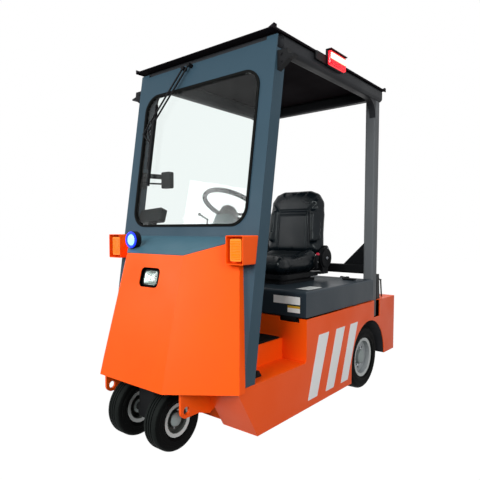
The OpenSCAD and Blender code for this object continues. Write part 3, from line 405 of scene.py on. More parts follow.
@dataclass(frozen=True)
class Glazing(Coat):
    """Laminated windscreen glass: see-through, faintly green, with a sharp reflection.

    Attributes:
        name: Common name of the real material.
        tint: Colour of what is seen through it.
        film: Share of reflection that a wiped film of dust adds.
    """

    name: str = "laminated windscreen glass"
    tint: str = "#f8fcfb"
    film: float = 0.02

    def draw(self, tree: Tree) -> Socket:
        """Mixes clear sight with a steep reflection, so that the cab behind stays bright.

        Args:
            tree: Empty tree of the material.

        Returns:
            The glass's shader.
        """
        through = add(tree, "ShaderNodeBsdfTransparent", {"Color": linear(self.tint)}).outputs[0]
        shine = add(tree, "ShaderNodeBsdfGlossy", {"Roughness": 0.02}).outputs[0]
        place = add(tree, "ShaderNodeTexCoord").outputs["Object"]
        dust = add(tree, "ShaderNodeTexNoise", {"Vector": place, "Scale": 9.0, "Detail": 5.0}).outputs["Fac"]
        edge = add(tree, "ShaderNodeLayerWeight", {"Blend": 0.5}).outputs["Facing"]
        steep = add(tree, "ShaderNodeMath", {0: edge, 1: 4.0}, operation="POWER").outputs[0]
        share = add(tree, "ShaderNodeMath", {0: dust, 1: self.film, 2: steep}, operation="MULTIPLY_ADD")
        return add(tree, "ShaderNodeMixShader", {0: share.outputs[0], 1: through, 2: shine}).outputs[0]


@dataclass(frozen=True)
class Turned(Coat):
    """Finish of a tyre or rim that changes with the distance from its axle.

    Attributes:
        name: Common name of the real material.
        axle: Place of the axle as y and z in metres.
        zones: Radius in metres at which each colour begins, and the colour.
        roughness: Roughness all over.
        metallic: 1 for bare metal.
        scuff_mm: Size of the dust and scuffs that blur the zones' edges.
        smear: How far the scuffs shift a zone's edge.
        fade: Half width of the step from one colour to the next.
        room: How far the ramp runs past the start of the last zone.
        gloss: Specular level.
    """

    name: str
    axle: tuple[float, float]
    zones: tuple[tuple[float, str], ...]
    roughness: float = 0.58
    metallic: float = 0.0
    scuff_mm: float = 18.0
    smear: float = 5 * MM
    fade: float = 1.5 * MM
    room: float = 20 * MM
    gloss: float = 0.03

    def draw(self, tree: Tree) -> Socket:
        """Adds a ramp over the radius, with scuffed edges.

        Args:
            tree: Empty tree of the material.

        Returns:
            The wheel's shader.
        """
        place = add(tree, "ShaderNodeTexCoord").outputs["Object"]
        y, z = self.axle
        wheel = add(tree, "ShaderNodeMapping", {"Vector": place, "Location": (0, -y, -z), "Scale": (0, 1, 1)})
        reach = add(tree, "ShaderNodeVectorMath", {0: wheel.outputs["Vector"]}, operation="LENGTH")
        marks = {"Vector": place, "Scale": 1000 / self.scuff_mm, "Detail": 5.0}
        scuff = add(tree, "ShaderNodeTexNoise", marks).outputs["Fac"]
        shift = {0: scuff, 1: self.smear, 2: -self.smear / 2}
        blur = add(tree, "ShaderNodeMath", shift, operation="MULTIPLY_ADD").outputs[0]
        past = add(tree, "ShaderNodeMath", {0: reach.outputs["Value"], 1: blur}, operation="ADD").outputs[0]
        widest = self.zones[-1][0] + self.room
        share = add(tree, "ShaderNodeMapRange", {"Value": past, "From Max": widest}).outputs[0]
        ramp = add(tree, "ShaderNodeValToRGB", {"Fac": share})
        stops = ramp.color_ramp.elements
        stops.remove(stops[1])
        stops[0].color = linear(self.zones[0][1])
        for (_, before), (radius, colour) in zip(self.zones, self.zones[1:]):
            for place_r, tone in ((radius - self.fade, before), (radius + self.fade, colour)):
                stops.new(place_r / widest).color = linear(tone)
        bump = add(tree, "ShaderNodeBump", {"Height": scuff, "Strength": 0.4, "Distance": 0.4 * MM})
        shader = add(tree, "ShaderNodeBsdfPrincipled", {
            "Base Color": ramp.outputs["Color"], "Normal": bump.outputs["Normal"],
            "Roughness": self.roughness, "Metallic": self.metallic, "Specular IOR Level": self.gloss,
        })
        return shader.outputs["BSDF"]


def metres(pairs: Pairs) -> list[tuple[float, float]]:
    """Turns a profile that is written in millimetres into metres."""
    return [(a * MM, b * MM) for a, b in pairs]


def rounded(width: float, height: float, radius: float, steps: int = 6) -> list[tuple[float, float]]:
    """Outline of a rectangle with round corners, centred on its own origin.

    Args:
        width: Size along u.
        height: Size along v.
        radius: Corner radius.
        steps: Segments in each corner.

    Returns:
        Points anticlockwise.
    """
    points = []
    for corner, (su, sv) in enumerate(((1, 1), (-1, 1), (-1, -1), (1, -1))):
        u, v = su * (width / 2 - radius), sv * (height / 2 - radius)
        for i in range(steps + 1):
            a = math.pi / 2 * (corner + i / steps)
            points.append((u + radius * math.cos(a), v + radius * math.sin(a)))
    return points


class Shape:
    """A mesh being built in the vehicle's own frame."""

    def __init__(self) -> None:
        """Starts an empty mesh."""
        self.bm = bmesh.new()

    def skin(
        self, loops: Sequence[Sequence[Vector]], first: bool = False, last: bool = False, closed: bool = False
    ) -> "Shape":
        """Joins loops of equal length, or single poles, into a skin.

        Args:
            loops: Points of each loop.
            first: True to close the first loop with a face.
            last: True to close the last loop with a face.
            closed: True to join the last loop to the first.

        Returns:
            The shape itself.
        """
        rings = [[self.bm.verts.new(p) for p in loop] for loop in loops]
        count = max(len(ring) for ring in rings)
        for a, b in list(zip(rings, rings[1:])) + ([(rings[-1], rings[0])] if closed else []):
            for i in range(count):
                j = (i + 1) % count
                corners = (a[i % len(a)], a[j % len(a)], b[j % len(b)], b[i % len(b)])
                self.bm.faces.new(list(dict.fromkeys(corners)))
        if first:
            self.bm.faces.new(rings[0][::-1])
        if last:
            self.bm.faces.new(rings[-1])
        return self

    def plate(self, outline: Pairs, origin: Vector, u: Vector, v: Vector, depth: float) -> "Shape":
        """Adds a plate from a flat outline.

        Args:
            outline: Points along u and v.
            origin: Place of the outline's own origin.
            u: Direction of the first coordinate.
            v: Direction of the second coordinate.
            depth: Thickness, towards u x v.

        Returns:
            The shape itself.
        """
        low = [origin + u * a + v * b for a, b in outline]
        thick = u.cross(v).normalized() * depth
        return self.skin([low, [p + thick for p in low]], first=True, last=True)

    def lathe(
        self, profile: Pairs, origin: Vector, axis: Vector, segments: int = 40, closed: bool = False
    ) -> "Shape":
        """Adds a turned form.

        Args:
            profile: Radius and place along the axis, from one end to the other.
            origin: Zero of the axis.
            axis: Direction of the axis.
            segments: Steps round it.
            closed: True if the profile is a closed ring.

        Returns:
            The shape itself.
        """
        turn = axis.to_track_quat("Z", "X")
        loops = []
        for r, along in profile:
            angles = [2 * math.pi * i / segments for i in range(segments if r > 0 else 1)]
            loops.append([origin + turn @ Vector((r * math.cos(a), r * math.sin(a), along)) for a in angles])
        return self.skin(loops, closed=closed)

    def tube(self, path: Sequence[Vector], radius: float, segments: int = 10) -> "Shape":
        """Adds a round bar that follows a path.

        Args:
            path: Points along the middle line.
            radius: Radius of the bar.
            segments: Steps round it.

        Returns:
            The shape itself.
        """
        loops = []
        side = None
        angles = [2 * math.pi * k / segments for k in range(segments)]
        for i, p in enumerate(path):
            along = (path[min(i + 1, len(path) - 1)] - path[max(i - 1, 0)]).normalized()
            side = (along.orthogonal() if side is None else side - along * side.dot(along)).normalized()
            up = along.cross(side)
            loops.append([p + (side * math.cos(a) + up * math.sin(a)) * radius for a in angles])
        return self.skin(loops, first=True, last=True)

    def soften(self, width: float, segments: int = 2) -> "Shape":
        """Rounds the sharp edges.

        Args:
            width: Width of the round.
            segments: Steps across it.

        Returns:
            The shape itself.
        """
        bmesh.ops.recalc_face_normals(self.bm, faces=self.bm.faces[:])
        joints = [e for e in self.bm.edges if len(e.link_faces) == 2]
        sharp = [e for e in joints if e.calc_face_angle(0) > ROUNDED_FROM]
        bmesh.ops.bevel(
            self.bm, geom=sharp, offset=width, segments=segments, affect="EDGES", clamp_overlap=True
        )
        return self

    def both_sides(self) -> "Shape":
        """Adds the mirror image on the vehicle's other side.

        Returns:
            The shape itself.
        """
        geom = self.bm.verts[:] + self.bm.edges[:] + self.bm.faces[:]
        made = bmesh.ops.duplicate(self.bm, geom=geom)["geom"]
        for v in (g for g in made if isinstance(g, bmesh.types.BMVert)):
            v.co.x = -v.co.x
        bmesh.ops.reverse_faces(self.bm, faces=[g for g in made if isinstance(g, bmesh.types.BMFace)])
        return self

    def piece(self, name: str, finish: Coat, body: Body, slot: Slot, *replaces: str) -> Object:
        """Turns the mesh into a piece of the vehicle.

        Args:
            name: Piece name.
            finish: Finish that gives its material.
            body: Body that it moves with.
            slot: The record's material slot.
            *replaces: CAD nodes that it stands for.

        Returns:
            The piece's object.
        """
        bmesh.ops.recalc_face_normals(self.bm, faces=self.bm.faces[:])
        mesh = bpy.data.meshes.new(name)
        self.bm.to_mesh(mesh)
        self.bm.free()
        return settle(mesh, name, finish, body, slot, *replaces)


def settle(mesh: Mesh, name: str, finish: Coat, body: Body, slot: Slot, *replaces: str) -> Object:
    """Makes a finished mesh a piece that rides on a body.

    Args:
        mesh: Mesh in the vehicle's frame.
        name: Piece name.
        finish: Finish that gives its material.
        body: Body that it moves with.
        slot: The record's material slot. Not used.
        *replaces: CAD nodes that it stands for.

    Returns:
        The piece's object.
    """
    mesh.materials.clear()
    mesh.materials.append(finish.material())
    mesh.polygons.foreach_set("use_smooth", [True] * len(mesh.polygons))
    mesh.set_sharp_from_angle(angle=SHARP_FROM)
    obj = shown(mesh, name)
    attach(obj, body.value)
    if replaces:
        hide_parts(*replaces)
    log.info("piece %s on %s, %d faces", name, body.value, len(mesh.polygons))
    return obj


class Pattern:
    """A Geometry Nodes tree with named inputs, run once and kept as a plain mesh."""

    def __init__(self, name: str, inputs: dict[str, Kind]) -> None:
        """Starts a tree.

        Args:
            name: Tree name.
            inputs: Input names and their types.
        """
        self.tree = bpy.data.node_groups.new(name, "GeometryNodeTree")
        face = self.tree.interface
        face.new_socket("Geometry", in_out="INPUT", socket_type="NodeSocketGeometry")
        for key, kind in {**inputs, "Finish": Kind.FINISH}.items():
            face.new_socket(key, in_out="INPUT", socket_type=kind.value)
        face.new_socket("Geometry", in_out="OUTPUT", socket_type="NodeSocketGeometry")
        self.given = add(self.tree, "NodeGroupInput").outputs

    def repeat(self, points: Socket, item: Socket, turn: Socket) -> Socket:
        """Sets an item on every point.

        Args:
            points: Points or vertices.
            item: Geometry to repeat.
            turn: Its rotation at each point.

        Returns:
            Socket that carries the instances.
        """
        sockets = {"Points": points, "Instance": item, "Rotation": turn}
        return add(self.tree, "GeometryNodeInstanceOnPoints", sockets).outputs[0]

    def close(self, geometry: Socket) -> "Pattern":
        """Ends the tree in Realize Instances and Set Material.

        Args:
            geometry: Socket that carries the instances.

        Returns:
            The pattern itself.
        """
        real = add(self.tree, "GeometryNodeRealizeInstances", {"Geometry": geometry}).outputs[0]
        coat = {"Geometry": real, "Material": self.given["Finish"]}
        dressed = add(self.tree, "GeometryNodeSetMaterial", coat).outputs[0]
        add(self.tree, "NodeGroupOutput", {"Geometry": dressed})
        return self

    def run(self, carrier: Mesh, finish: Coat, **values: Any) -> Mesh:
        """Runs the tree on a carrier mesh.

        Args:
            carrier: Points or lines that the pattern follows.
            finish: Finish of the result.
            **values: Input values, with spaces in their names as underscores.

        Returns:
            The realised mesh.
        """
        obj = shown(carrier, "carrier")
        mod = obj.modifiers.new("pattern", "NODES")
        mod.node_group = self.tree
        values["Finish"] = finish.material()
        for item in self.tree.interface.items_tree:
            key = item.name.replace(" ", "_")
            if item.in_out == "INPUT" and key in values:
                mod[item.identifier] = values[key]
        mesh = evaluated(obj)
        obj.modifiers.remove(mod)
        bpy.data.objects.remove(obj)
        return mesh


class Patterns:
    """The node trees that the vehicle's repeated details share."""

    def __init__(self) -> None:
        """Builds every tree once."""
        self.screws = self._screws()
        self.bars = self._bars()
        self.ring = self._ring()
        self.stitches = self._stitches()

    @staticmethod
    def _screws() -> Pattern:
        """Sets hexagon heads with washers at points, standing along each point's aim.

        Returns:
            The pattern.
        """
        p = Pattern("hexagon screws", {"Head radius": Kind.FLOAT, "Head height": Kind.FLOAT})
        tree, radius, height = p.tree, p.given["Head radius"], p.given["Head height"]
        head = add(tree, "GeometryNodeMeshCylinder", {"Vertices": 6, "Radius": radius, "Depth": height})
        wide = add(tree, "ShaderNodeMath", {0: radius, 1: 1.5}, operation="MULTIPLY").outputs[0]
        thin = add(tree, "ShaderNodeMath", {0: height, 1: 0.5}, operation="MULTIPLY").outputs[0]
        washer = add(tree, "GeometryNodeMeshCylinder", {"Vertices": 20, "Radius": wide, "Depth": thin})
        lift = add(tree, "ShaderNodeCombineXYZ", {"Z": thin}).outputs[0]
        raised = add(tree, "GeometryNodeTransform", {"Geometry": head.outputs["Mesh"], "Translation": lift})
        both = add(tree, "GeometryNodeJoinGeometry")
        for part in (raised.outputs[0], washer.outputs["Mesh"]):
            tree.links.new(part, both.inputs[0])
        aim = add(tree, "GeometryNodeInputNamedAttribute", {"Name": "aim"}, data_type="FLOAT_VECTOR")
        turn = add(tree, "FunctionNodeAlignRotationToVector", {"Vector": aim.outputs["Attribute"]}, axis="Z")
        spots = add(tree, "GeometryNodeMeshToPoints", {"Mesh": p.given["Geometry"]})
        return p.close(p.repeat(spots.outputs[0], both.outputs[0], turn.outputs[0]))

    @staticmethod
    def _bars() -> Pattern:
        """Sets a row of equal bars along a line.

        Returns:
            The pattern.
        """
        inputs = {"Count": Kind.WHOLE, "Start": Kind.VECTOR, "Step": Kind.VECTOR}
        p = Pattern("row of bars", {**inputs, "Size": Kind.VECTOR, "Turn": Kind.VECTOR})
        row = {"Count": p.given["Count"], "Start Location": p.given["Start"], "Offset": p.given["Step"]}
        spots = add(p.tree, "GeometryNodeMeshLine", row)
        bar = add(p.tree, "GeometryNodeMeshCube", {"Size": p.given["Size"]})
        turn = add(p.tree, "FunctionNodeEulerToRotation", {0: p.given["Turn"]})
        return p.close(p.repeat(spots.outputs[0], bar.outputs["Mesh"], turn.outputs[0]))

    @staticmethod
    def _ring() -> Pattern:
        """Sets equal bars round an axle, each leaning to the tyre's shoulder.

        Returns:
            The pattern.
        """
        inputs = {"Count": Kind.WHOLE, "Radius": Kind.FLOAT, "Lean": Kind.FLOAT}
        p = Pattern("ring of bars", {**inputs, "Size": Kind.VECTOR, "Place": Kind.VECTOR})
        tree = p.tree
        spots = {"Vertices": p.given["Count"], "Radius": p.given["Radius"]}
        circle = add(tree, "GeometryNodeMeshCircle", spots)
        bar = add(tree, "GeometryNodeMeshCube", {"Size": p.given["Size"]})
        lean = add(tree, "ShaderNodeCombineXYZ", {"Y": p.given["Lean"]}).outputs[0]
        tilted = add(tree, "GeometryNodeTransform", {"Geometry": bar.outputs["Mesh"], "Rotation": lean})
        spoke = {"Vector": add(tree, "GeometryNodeInputPosition").outputs[0]}
        turn = add(tree, "FunctionNodeAlignRotationToVector", spoke, axis="X", pivot_axis="Z")
        many = p.repeat(circle.outputs["Mesh"], tilted.outputs[0], turn.outputs[0])
        real = add(tree, "GeometryNodeRealizeInstances", {"Geometry": many}).outputs[0]
        place = {"Geometry": real, "Translation": p.given["Place"], "Rotation": (0, math.pi / 2, 0)}
        return p.close(add(tree, "GeometryNodeTransform", place).outputs[0])

    @staticmethod
    def _stitches() -> Pattern:
        """Lays short threads end to end along a line.

        Returns:
            The pattern.
        """
        p = Pattern("stitch row", {"Pitch": Kind.FLOAT, "Thread": Kind.FLOAT})
        tree, pitch = p.tree, p.given["Pitch"]
        curve = add(tree, "GeometryNodeMeshToCurve", {"Mesh": p.given["Geometry"]}).outputs[0]
        even = add(tree, "GeometryNodeResampleCurve", {"Curve": curve, "Length": pitch}, mode="LENGTH")
        tangent = {"Vector": add(tree, "GeometryNodeInputTangent").outputs[0]}
        turn = add(tree, "FunctionNodeAlignRotationToVector", tangent, axis="Z")
        length = add(tree, "ShaderNodeMath", {0: pitch, 1: 0.62}, operation="MULTIPLY").outputs[0]
        stitch = {"Vertices": 6, "Radius": p.given["Thread"], "Depth": length}
        thread = add(tree, "GeometryNodeMeshCylinder", stitch)
        return p.close(p.repeat(even.outputs[0], thread.outputs["Mesh"], turn.outputs[0]))


def aimed_points(places: Sequence[Stand]) -> Mesh:
    """Carrier mesh for screws.

    Args:
        places: Seat of each screw and the direction in which it stands.

    Returns:
        A mesh of loose points with an "aim" attribute.
    """
    mesh = bpy.data.meshes.new("spots")
    mesh.from_pydata([tuple(p) for p, _ in places], [], [])
    aim = mesh.attributes.new("aim", "FLOAT_VECTOR", "POINT")
    for i, (_, n) in enumerate(places):
        aim.data[i].vector = n
    return mesh


def line(start: Sequence[float], end: Sequence[float], steps: int = 80) -> list[Vector]:
    """Evenly spaced points from one place to another.

    Args:
        start: First point.
        end: Last point.
        steps: Number of spaces between points.

    Returns:
        The points, with both ends.
    """
    a, b = Vector(start), Vector(end)
    return [a.lerp(b, i / steps) for i in range(steps + 1)]


def line_mesh(paths: Iterable[Sequence[Vector]] = ()) -> Mesh:
    """Carrier mesh of open lines, or an empty one for a pattern that needs none.

    Args:
        paths: Points of each line.

    Returns:
        A mesh of edges.
    """
    verts: list[tuple[float, ...]] = []
    edges: list[tuple[int, int]] = []
    for path in paths:
        first = len(verts)
        verts += [tuple(p) for p in path]
        edges += [(i, i + 1) for i in range(first, len(verts) - 1)]
    mesh = bpy.data.meshes.new("lines")
    mesh.from_pydata(verts, edges, [])
    return mesh


def merged(meshes: Iterable[Mesh]) -> Mesh:
    """Joins meshes that share one frame.

    Args:
        meshes: Meshes to join.

    Returns:
        One mesh.
    """
    bm = bmesh.new()
    for mesh in meshes:
        bm.from_mesh(mesh)
    whole = bpy.data.meshes.new("merged")
    bm.to_mesh(whole)
    bm.free()
    return whole


def islands(node: str) -> list[Box]:
    """Boxes of a CAD node's separate solids, from front to rear.

    Args:
        node: CAD node name.

    Returns:
        Lowest and highest corner of each solid.
    """
    bm = bmesh.new()
    bm.from_mesh(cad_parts[node].data)
    bmesh.ops.remove_doubles(bm, verts=bm.verts[:], dist=0.01 * MM)
    left = set(bm.verts)
    boxes = []
    while left:
        heap = [left.pop()]
        group = []
        while heap:
            v = heap.pop()
            group.append(v.co.copy())
            near = {e.other_vert(v) for e in v.link_edges} & left
            left -= near
            heap += near
        boxes.append(tuple(Vector([pick(c[i] for c in group) for i in range(3)]) for pick in (min, max)))
    bm.free()
    return sorted(boxes, key=lambda b: (round(b[0].y, 4), b[0].x))


@dataclass(frozen=True)
class Softbox:
    """One square area light.

    Attributes:
        name: What it does.
        place: Where it hangs.
        target: Point that it looks at.
        size: Length of its edge.
        watts: Its power.
        mirrored: True if shiny pieces show it.
    """

    name: str
    place: tuple[float, float, float]
    target: tuple[float, float, float]
    size: float
    watts: float
    mirrored: bool = True

    def hang(self) -> None:
        """Puts the light in the scene."""
        lamp = bpy.data.lights.new(self.name, "AREA")
        lamp.size = self.size
        lamp.energy = self.watts
        obj = shown(lamp, self.name)
        obj.visible_glossy = self.mirrored
        obj.location = self.place
        look = Vector(self.target) - Vector(self.place)
        obj.rotation_euler = look.to_track_quat("-Z", "Y").to_euler()


@dataclass
class Studio:
    """Camera at the photograph's place, soft light and a pale floor.

    Attributes:
        place: Camera place.
        yaw: Heading from the vehicle's length, radians.
        pitch: Lift above the horizon, radians.
        lens: Focal length in mm.
        sensor: Sensor width in mm.
        shift: Where the frame sits off the lens axis.
        boxes: A broad key ahead of the nose, a weak fill at the left, top and rear lights, a narrow sheen.
        ambient: Strength of the surround as a light.
        floor_tone: The floor's own colour, which takes the shadow.
        floor_glow: Strength of its white.
        floor_share: Share of that white where the floor is seen.
    """

    place: tuple[float, float, float] = (1.7354, -2.3865, 1.0372)
    yaw: float = 0.7039
    pitch: float = -0.0550
    lens: float = 34.974
    sensor: float = 36.0
    shift: tuple[float, float] = (0.0266, 0.0326)
    boxes: tuple[Softbox, ...] = (
        Softbox("key", (0.9, -5.0, 2.6), (0, -0.4, 0.8), 2.2, 230.0),
        Softbox("fill", (4.0, -1.5, 1.7), (0, 0, 0.6), 2.0, 75.0, mirrored=False),
        Softbox("top", (0.3, 0.2, 5.0), (0, 0, 0.8), 2.6, 130.0),
        Softbox("rear", (-2.0, 4.5, 3.0), (0, 0.3, 0.8), 2.4, 60.0, mirrored=False),
        Softbox("sheen", (-2.6, -3.8, 2.1), (0, 0.3, 1.0), 1.1, 35.0),
    )
    ambient: float = 0.16
    floor_tone: str = "#5c5c5a"
    floor_glow: float = 1.12
    floor_share: float = 0.9

    def camera(self) -> None:
        """Sets the scene's camera."""
        cam = bpy.data.cameras.new("camera")
        cam.sensor_width = self.sensor
        cam.lens = self.lens
        cam.shift_x, cam.shift_y = self.shift
        cam.clip_start, cam.clip_end = 0.05, 60
        level = math.cos(self.pitch)
        ahead = Vector((-math.sin(self.yaw) * level, math.cos(self.yaw) * level, math.sin(self.pitch)))
        obj = shown(cam, "camera")
        obj.location = self.place
        obj.rotation_euler = ahead.to_track_quat("-Z", "Y").to_euler()
        bpy.context.scene.camera = obj
        bpy.context.scene.view_settings.view_transform = "Standard"

    @staticmethod
    def seen(tree: Tree) -> Socket:
        """Finds the rays that see the backdrop straight, in a reflection or through glass.

        Args:
            tree: Tree that takes the nodes.

        Returns:
            Socket that is 1 for such rays.
        """
        path = add(tree, "ShaderNodeLightPath").outputs
        straight = {0: path["Is Camera Ray"], 1: path["Is Glossy Ray"]}
        first = add(tree, "ShaderNodeMath", straight, operation="MAXIMUM").outputs[0]
        through = {0: first, 1: path["Is Transmission Ray"]}
        return add(tree, "ShaderNodeMath", through, operation="MAXIMUM").outputs[0]

    def lights(self) -> None:
        """Hangs the lights in a surround that is seen as white."""
        world = bpy.data.worlds.new("surround")
        bpy.context.scene.world = world
        tree = emptied(world)
        dim = add(tree, "ShaderNodeBackground", {"Color": (1, 1, 1, 1), "Strength": self.ambient}).outputs[0]
        white = add(tree, "ShaderNodeBackground", {"Color": (1, 1, 1, 1), "Strength": 1.0}).outputs[0]
        mix = add(tree, "ShaderNodeMixShader", {0: self.seen(tree), 1: dim, 2: white})
        add(tree, "ShaderNodeOutputWorld", {"Surface": mix.outputs[0]})
        for box in self.boxes:
            box.hang()

    def floor(self) -> None:
        """A pale floor that keeps a light shadow and runs into the white surround."""
        half, under = 14.0, 0.4 * MM
        corners = [(-half, -half), (half, -half), (half, half), (-half, half)]
        mesh = bpy.data.meshes.new("floor")
        mesh.from_pydata([(x, y, -under) for x, y in corners], [], [(0, 1, 2, 3)])
        mat = bpy.data.materials.new("pale studio floor")
        tree = emptied(mat)
        matt = add(tree, "ShaderNodeBsdfDiffuse", {"Color": linear(self.floor_tone)}).outputs[0]
        glow = {"Color": (1, 1, 1, 1), "Strength": self.floor_glow}
        white = add(tree, "ShaderNodeEmission", glow).outputs[0]
        seen = {0: self.seen(tree), 1: self.floor_share}
        share = add(tree, "ShaderNodeMath", seen, operation="MULTIPLY").outputs[0]
        mix = add(tree, "ShaderNodeMixShader", {0: share, 1: matt, 2: white})
        add(tree, "ShaderNodeOutputMaterial", {"Surface": mix.outputs[0]})
        mesh.materials.append(mat)
        shown(mesh, "floor")


@dataclass(frozen=True)
class Wheel:
    """What sets one body's wheels apart. The defaults are the rear wheels' values.

    Attributes:
        tyre: CAD node of the tyre.
        rim: CAD node of the rim.
        body: Body that both turn with.
        kind: Word that names its finishes.
        dish: Colour of the rim's dish.
        bead: Radius at which the tyre sits on the rim.
        nuts: Nuts on a disc.
        nut_ring: Radius of the ring of nuts.
        nut: Nut radius.
    """

    tyre: str
    rim: str
    body: Body
    kind: str = "rear"
    dish: str = "#a3a8aa"
    bead: float = 120 * MM
    nuts: int = 8
    nut_ring: float = 56 * MM
    nut: float = 6.5 * MM


# The front wheels' dish is drawn much darker than the rear wheels'.
WHEELS = (
    Wheel("rear_tyre_left", "rear_rim_left", Body.REAR_LEFT),
    Wheel("rear_tyre_right", "rear_rim_right", Body.REAR_RIGHT),
    Wheel("front_tyres", "front_rims", Body.FRONT_WHEELS, "front", "#4a4d4a", 74 * MM, 5, 45 * MM, 3.6 * MM),
)


@dataclass
class Paintwork:
    """Finishes of the CAD nodes that stay as they are.

    Attributes:
        coats: Nodes of each finish.
        wall: Colour of the tyres' walls.
        tread_dust_and_sheen: Colour of the running face: road dust, with a painted highlight in its lighter
            grey.
        tread_in: How far the running face reaches down the wall.
        cap: Colour of the wheels' caps.
        cap_share: The cap's share of the rim's radius.
        flange: Colour of the rims' flanges.
        flange_in: Width of the flange.
    """

    coats: dict[Coat, tuple[str, ...]] = field(
        default_factory=lambda: {
            ORANGE: (
                "side_panels", "floor_pan", "battery_box", "rear_deck", "front_plates", "lower_front",
                "nose_panel", "indicator_guards",
            ),
            PAINTED_SKY_SHELF_SLATE: ("cowl_shelf",),
            SLATE: ("windscreen_frame", "dash"),
            HOOD_SLATE: ("hood",),
            ROOF_COAT_AND_SHADE: ("roof_sheet",),
            GRAPHITE: ("roof_rails", "wheel_wells"),
            POST_GREY: ("rear_posts",),
            BLACK_PAINT: ("crossbeam", "tow_coupling", "rear_fittings", "wiper"),
            RUBBER: ("floor_mat", "windscreen_seal"),
            Glazing(): ("windscreen_glass",),
            GREY_PLASTIC: ("steering_column",),
            BLACK_PLASTIC: (
                "pillar_brackets", "driver_controls", "cab_devices", "lamp_housings", "hood_fittings",
                "seat_base", "steering_wheel",
            ),
            AMBER: ("indicator_lenses",),
            TROUGH: ("battery",),
            CAST: ("drive_axle", "steer_head", "fork"),
        }
    )
    wall: str = "#0a0b0b"
    # The running face's grey: road dust, with a painted highlight.
    tread_dust_and_sheen: str = "#191c1b"
    tread_in: float = 7 * MM
    cap: str = "#8d9695"
    cap_share: float = 0.42
    flange: str = "#b4b8b7"
    flange_in: float = 17 * MM

    def dress(self) -> None:
        """Gives each node its finish."""
        for finish, nodes in self.coats.items():
            for node in nodes:
                self._coat(node, finish)
        for wheel in WHEELS:
            lo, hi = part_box(wheel.tyre)
            axle = ((lo.y + hi.y) / 2, (lo.z + hi.z) / 2)
            outer = (hi.z - lo.z) / 2
            # Moulded rubber: jet black walls and a lighter running face, partly road dust and partly a
            # painted highlight.
            zones = ((0.0, self.wall), (outer - self.tread_in, self.tread_dust_and_sheen))
            self._coat(wheel.tyre, Turned(f"{wheel.kind} tyre rubber", axle, zones))
            lo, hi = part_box(wheel.rim)
            edge = (hi.z - lo.z) / 2
            # Silver lacquer over pressed steel: bright cap and flange round a duller dish.
            dish, flange = edge * self.cap_share, edge - self.flange_in
            zones = ((0.0, self.cap), (dish, wheel.dish), (flange, self.flange))
            lacquer = Turned(f"{wheel.kind} wheel lacquer", axle, zones, 0.38, 0.3, scuff_mm=9.0)
            self._coat(wheel.rim, lacquer)

    @staticmethod
    def _coat(node: str, finish: Coat) -> None:
        """Puts a finish on a CAD node.

        Args:
            node: CAD node name.
            finish: Its finish.
        """
        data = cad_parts[node].data
        data.materials.clear()
        data.materials.append(finish.material())
        log.info("node %s in %s", node, finish.name)


@dataclass
class SidePanels:
    """Reflective stripes on the body's sides.

    Attributes:
        low: Height of the stripes' foot.
        high: Height of the stripes' top.
        feet: Front and rear end of each stripe's foot along the vehicle.
        heads: Front and rear end of each stripe's top.
        tape: Tape thickness.
        film: Glue under the tape.
    """

    low: float = 0.130
    high: float = 0.465
    feet: Pairs = ((-0.255, -0.157), (-0.062, 0.033), (0.122, 0.213))
    heads: Pairs = ((-0.143, -0.029), (0.061, 0.169), (0.243, 0.344))
    tape: float = 0.5 * MM
    film: float = 0.1 * MM

    def build(self) -> None:
        """Lays the stripes on both sides."""
        side = X * (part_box("side_panels")[1].x + self.film)
        shape = Shape()
        for (f0, f1), (h0, h1) in zip(self.feet, self.heads):
            outline = [(f0, self.low), (f1, self.low), (h1, self.high), (h0, self.high)]
            shape.plate(outline, side, Y, Z, self.tape)
        shape.both_sides().piece("side_stripes", TAPE, Body.CHASSIS, Slot.ORANGE)


